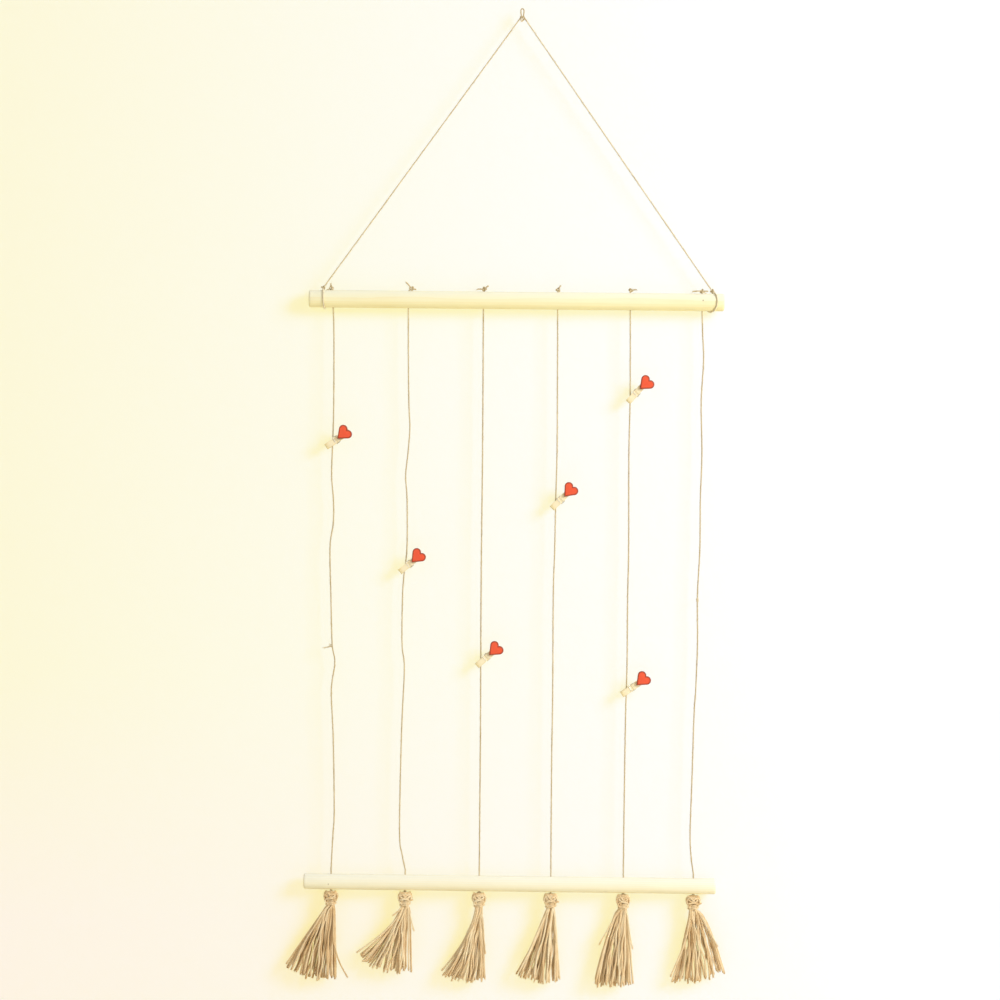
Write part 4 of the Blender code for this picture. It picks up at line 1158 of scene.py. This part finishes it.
wire, side = wire_line()
for index in range(6):
    number = index + 1
    pose = peg_frame(index)
    line, _ = even_steps([pose @ point for point in wire], WIRE_STEP)
    ends = np.minimum(np.arange(len(line)), np.arange(len(line))[::-1])
    width = WIRE_WIDTH * np.interp(ends, (0, 1), (0.8, 1.0))
    spring = jute_piece(f"clip_{number}_wire", [twist_yarn(line, width, 1.0, groove=0.0)], steel)
    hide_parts(f"clip_{number}_spring")
    tuple(pose @ Vector((0, 0, -side)))
    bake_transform(spring)


# The hearts: small plywood hearts with rounded edges, painted red and glued on the front
# lever's handle, their points towards the jaws.
LOBE_HALF = 0.0051
LOBE_ASIDE = 0.00415
HEART_HEIGHT = 0.0180
HEART_THICK = 0.0030
HEART_ROUND = 0.00080
HEART_BACK_ROUND = 0.0004
DARK_RIM_WIDTH = 0.0014
HEART_PLACES = (0.495, 0.543, 0.575, 0.61, 0.61, 0.625)
HEART_TURNS = (7, 6, 3, 4, -6, 9)

up = HEART_HEIGHT - LOBE_HALF
flank = math.atan2(LOBE_ASIDE, up) + math.asin(LOBE_HALF / math.hypot(up, LOBE_ASIDE))
cleft = math.acos(LOBE_ASIDE / LOBE_HALF)
outline = [Vector((0, 0, 0))]
for side, first, last, steps in (
    (-1, -flank - math.pi / 2, math.pi / 2 - cleft, range(25)),
    (1, cleft - math.pi / 2, flank + math.pi / 2, range(1, 25)),
):
    lobe = Vector((up, side * LOBE_ASIDE, 0))
    for step in steps:
        angle = first + (last - first) * step / 24
        outline.append(lobe + Vector((math.cos(angle), math.sin(angle), 0)) * LOBE_HALF)

bpy.ops.mesh.primitive_circle_add(vertices=len(outline), radius=HEART_HEIGHT / 2, fill_type="NGON")
pattern = bpy.context.object
for corner, place in zip(pattern.data.vertices, outline):
    corner.co = place
bpy.ops.object.mode_set(mode="EDIT")
bpy.ops.mesh.select_all(action="SELECT")
bpy.ops.mesh.extrude_region_move(TRANSFORM_OT_translate={"value": (0, 0, HEART_THICK)})
bpy.ops.mesh.select_all(action="SELECT")
bpy.ops.mesh.normals_make_consistent(inside=False)
for level, size, steps in ((HEART_THICK, HEART_ROUND, 5), (0.0, HEART_BACK_ROUND, 2)):
    bpy.ops.mesh.select_all(action="DESELECT")
    shape = bmesh.from_edit_mesh(pattern.data)
    for edge in shape.edges:
        if all(abs(corner.co.z - level) < 1e-6 for corner in edge.verts):
            edge.select = True
    bmesh.update_edit_mesh(pattern.data)
    bpy.ops.mesh.bevel(offset=size, segments=steps, profile=0.5, affect="EDGES", clamp_overlap=True)
bpy.ops.mesh.select_all(action="DESELECT")
shape = bmesh.from_edit_mesh(pattern.data)
for face in shape.faces:
    if all(abs(corner.co.z - HEART_THICK) < 1e-6 for corner in face.verts):
        face.select = True
bmesh.update_edit_mesh(pattern.data)
bpy.ops.mesh.inset(thickness=DARK_RIM_WIDTH, depth=0)
bpy.ops.object.mode_set(mode="OBJECT")
bpy.ops.object.shade_smooth_by_angle(angle=math.radians(50))
rim = []
for corner in pattern.data.vertices:
    flat = Vector((corner.co.x, corner.co.y, 0))
    off_edge = []
    for first, last in zip(outline, [*outline[1:], outline[0]]):
        nearest, share = intersect_point_line(flat, first, last)
        off_edge.append((flat - first.lerp(last, min(1, max(0, share)))).length)
    rim.append(min(1, max(0, 1 - (min(off_edge) - 0.85 * HEART_ROUND) / DARK_RIM_WIDTH)))
pattern.data.attributes.new("rim", "FLOAT", "POINT").data.foreach_set("value", rim)

paint, start = new_finish("heart_red_paint")
place = start.node("ShaderNodeTexCoord", output=3)
rim = start.node("ShaderNodeAttribute", {"attribute_name": "rim"}, output=2)
brushed = noise(place, 900.0, 3.0)
patchy = noise(place, 260.0, 2.0)
top = two_tone(patchy, srgb(250, 82, 50), srgb(246, 106, 66))
# The paint is darker round the rim: over the rounded edge and a band just inside it.
dark_rim = rim * (0.75 + brushed * 0.6)
colour = two_tone(dark_rim, top, srgb(150, 58, 32))
surface(start, colour, 0.42 + brushed * 0.2, brushed, 0.3, 0.00012, 0.35)
pattern.data.materials.append(paint)

for index in range(6):
    number = index + 1
    heart = bpy.data.objects.new(f"clip_{number}_red_heart", pattern.data.copy())
    bpy.context.scene.collection.objects.link(heart)
    tip = HEART_PLACES[index] * PEG_LENGTH - PEG_JAW
    turned = Matrix.Rotation(math.radians(-HEART_TURNS[index]), 4, "Y")
    upright = Matrix.Rotation(math.radians(90), 4, "X")
    seat = Matrix.Translation((tip, -JAW_GAP / 2 - LEVER_THICK - KNOT_SEAT, 0))
    heart.data.transform(peg_frame(index) @ seat @ turned @ upright)
    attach(heart, f"clip_{number}_front")
    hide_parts(f"clip_{number}_heart")
bpy.data.objects.remove(pattern)
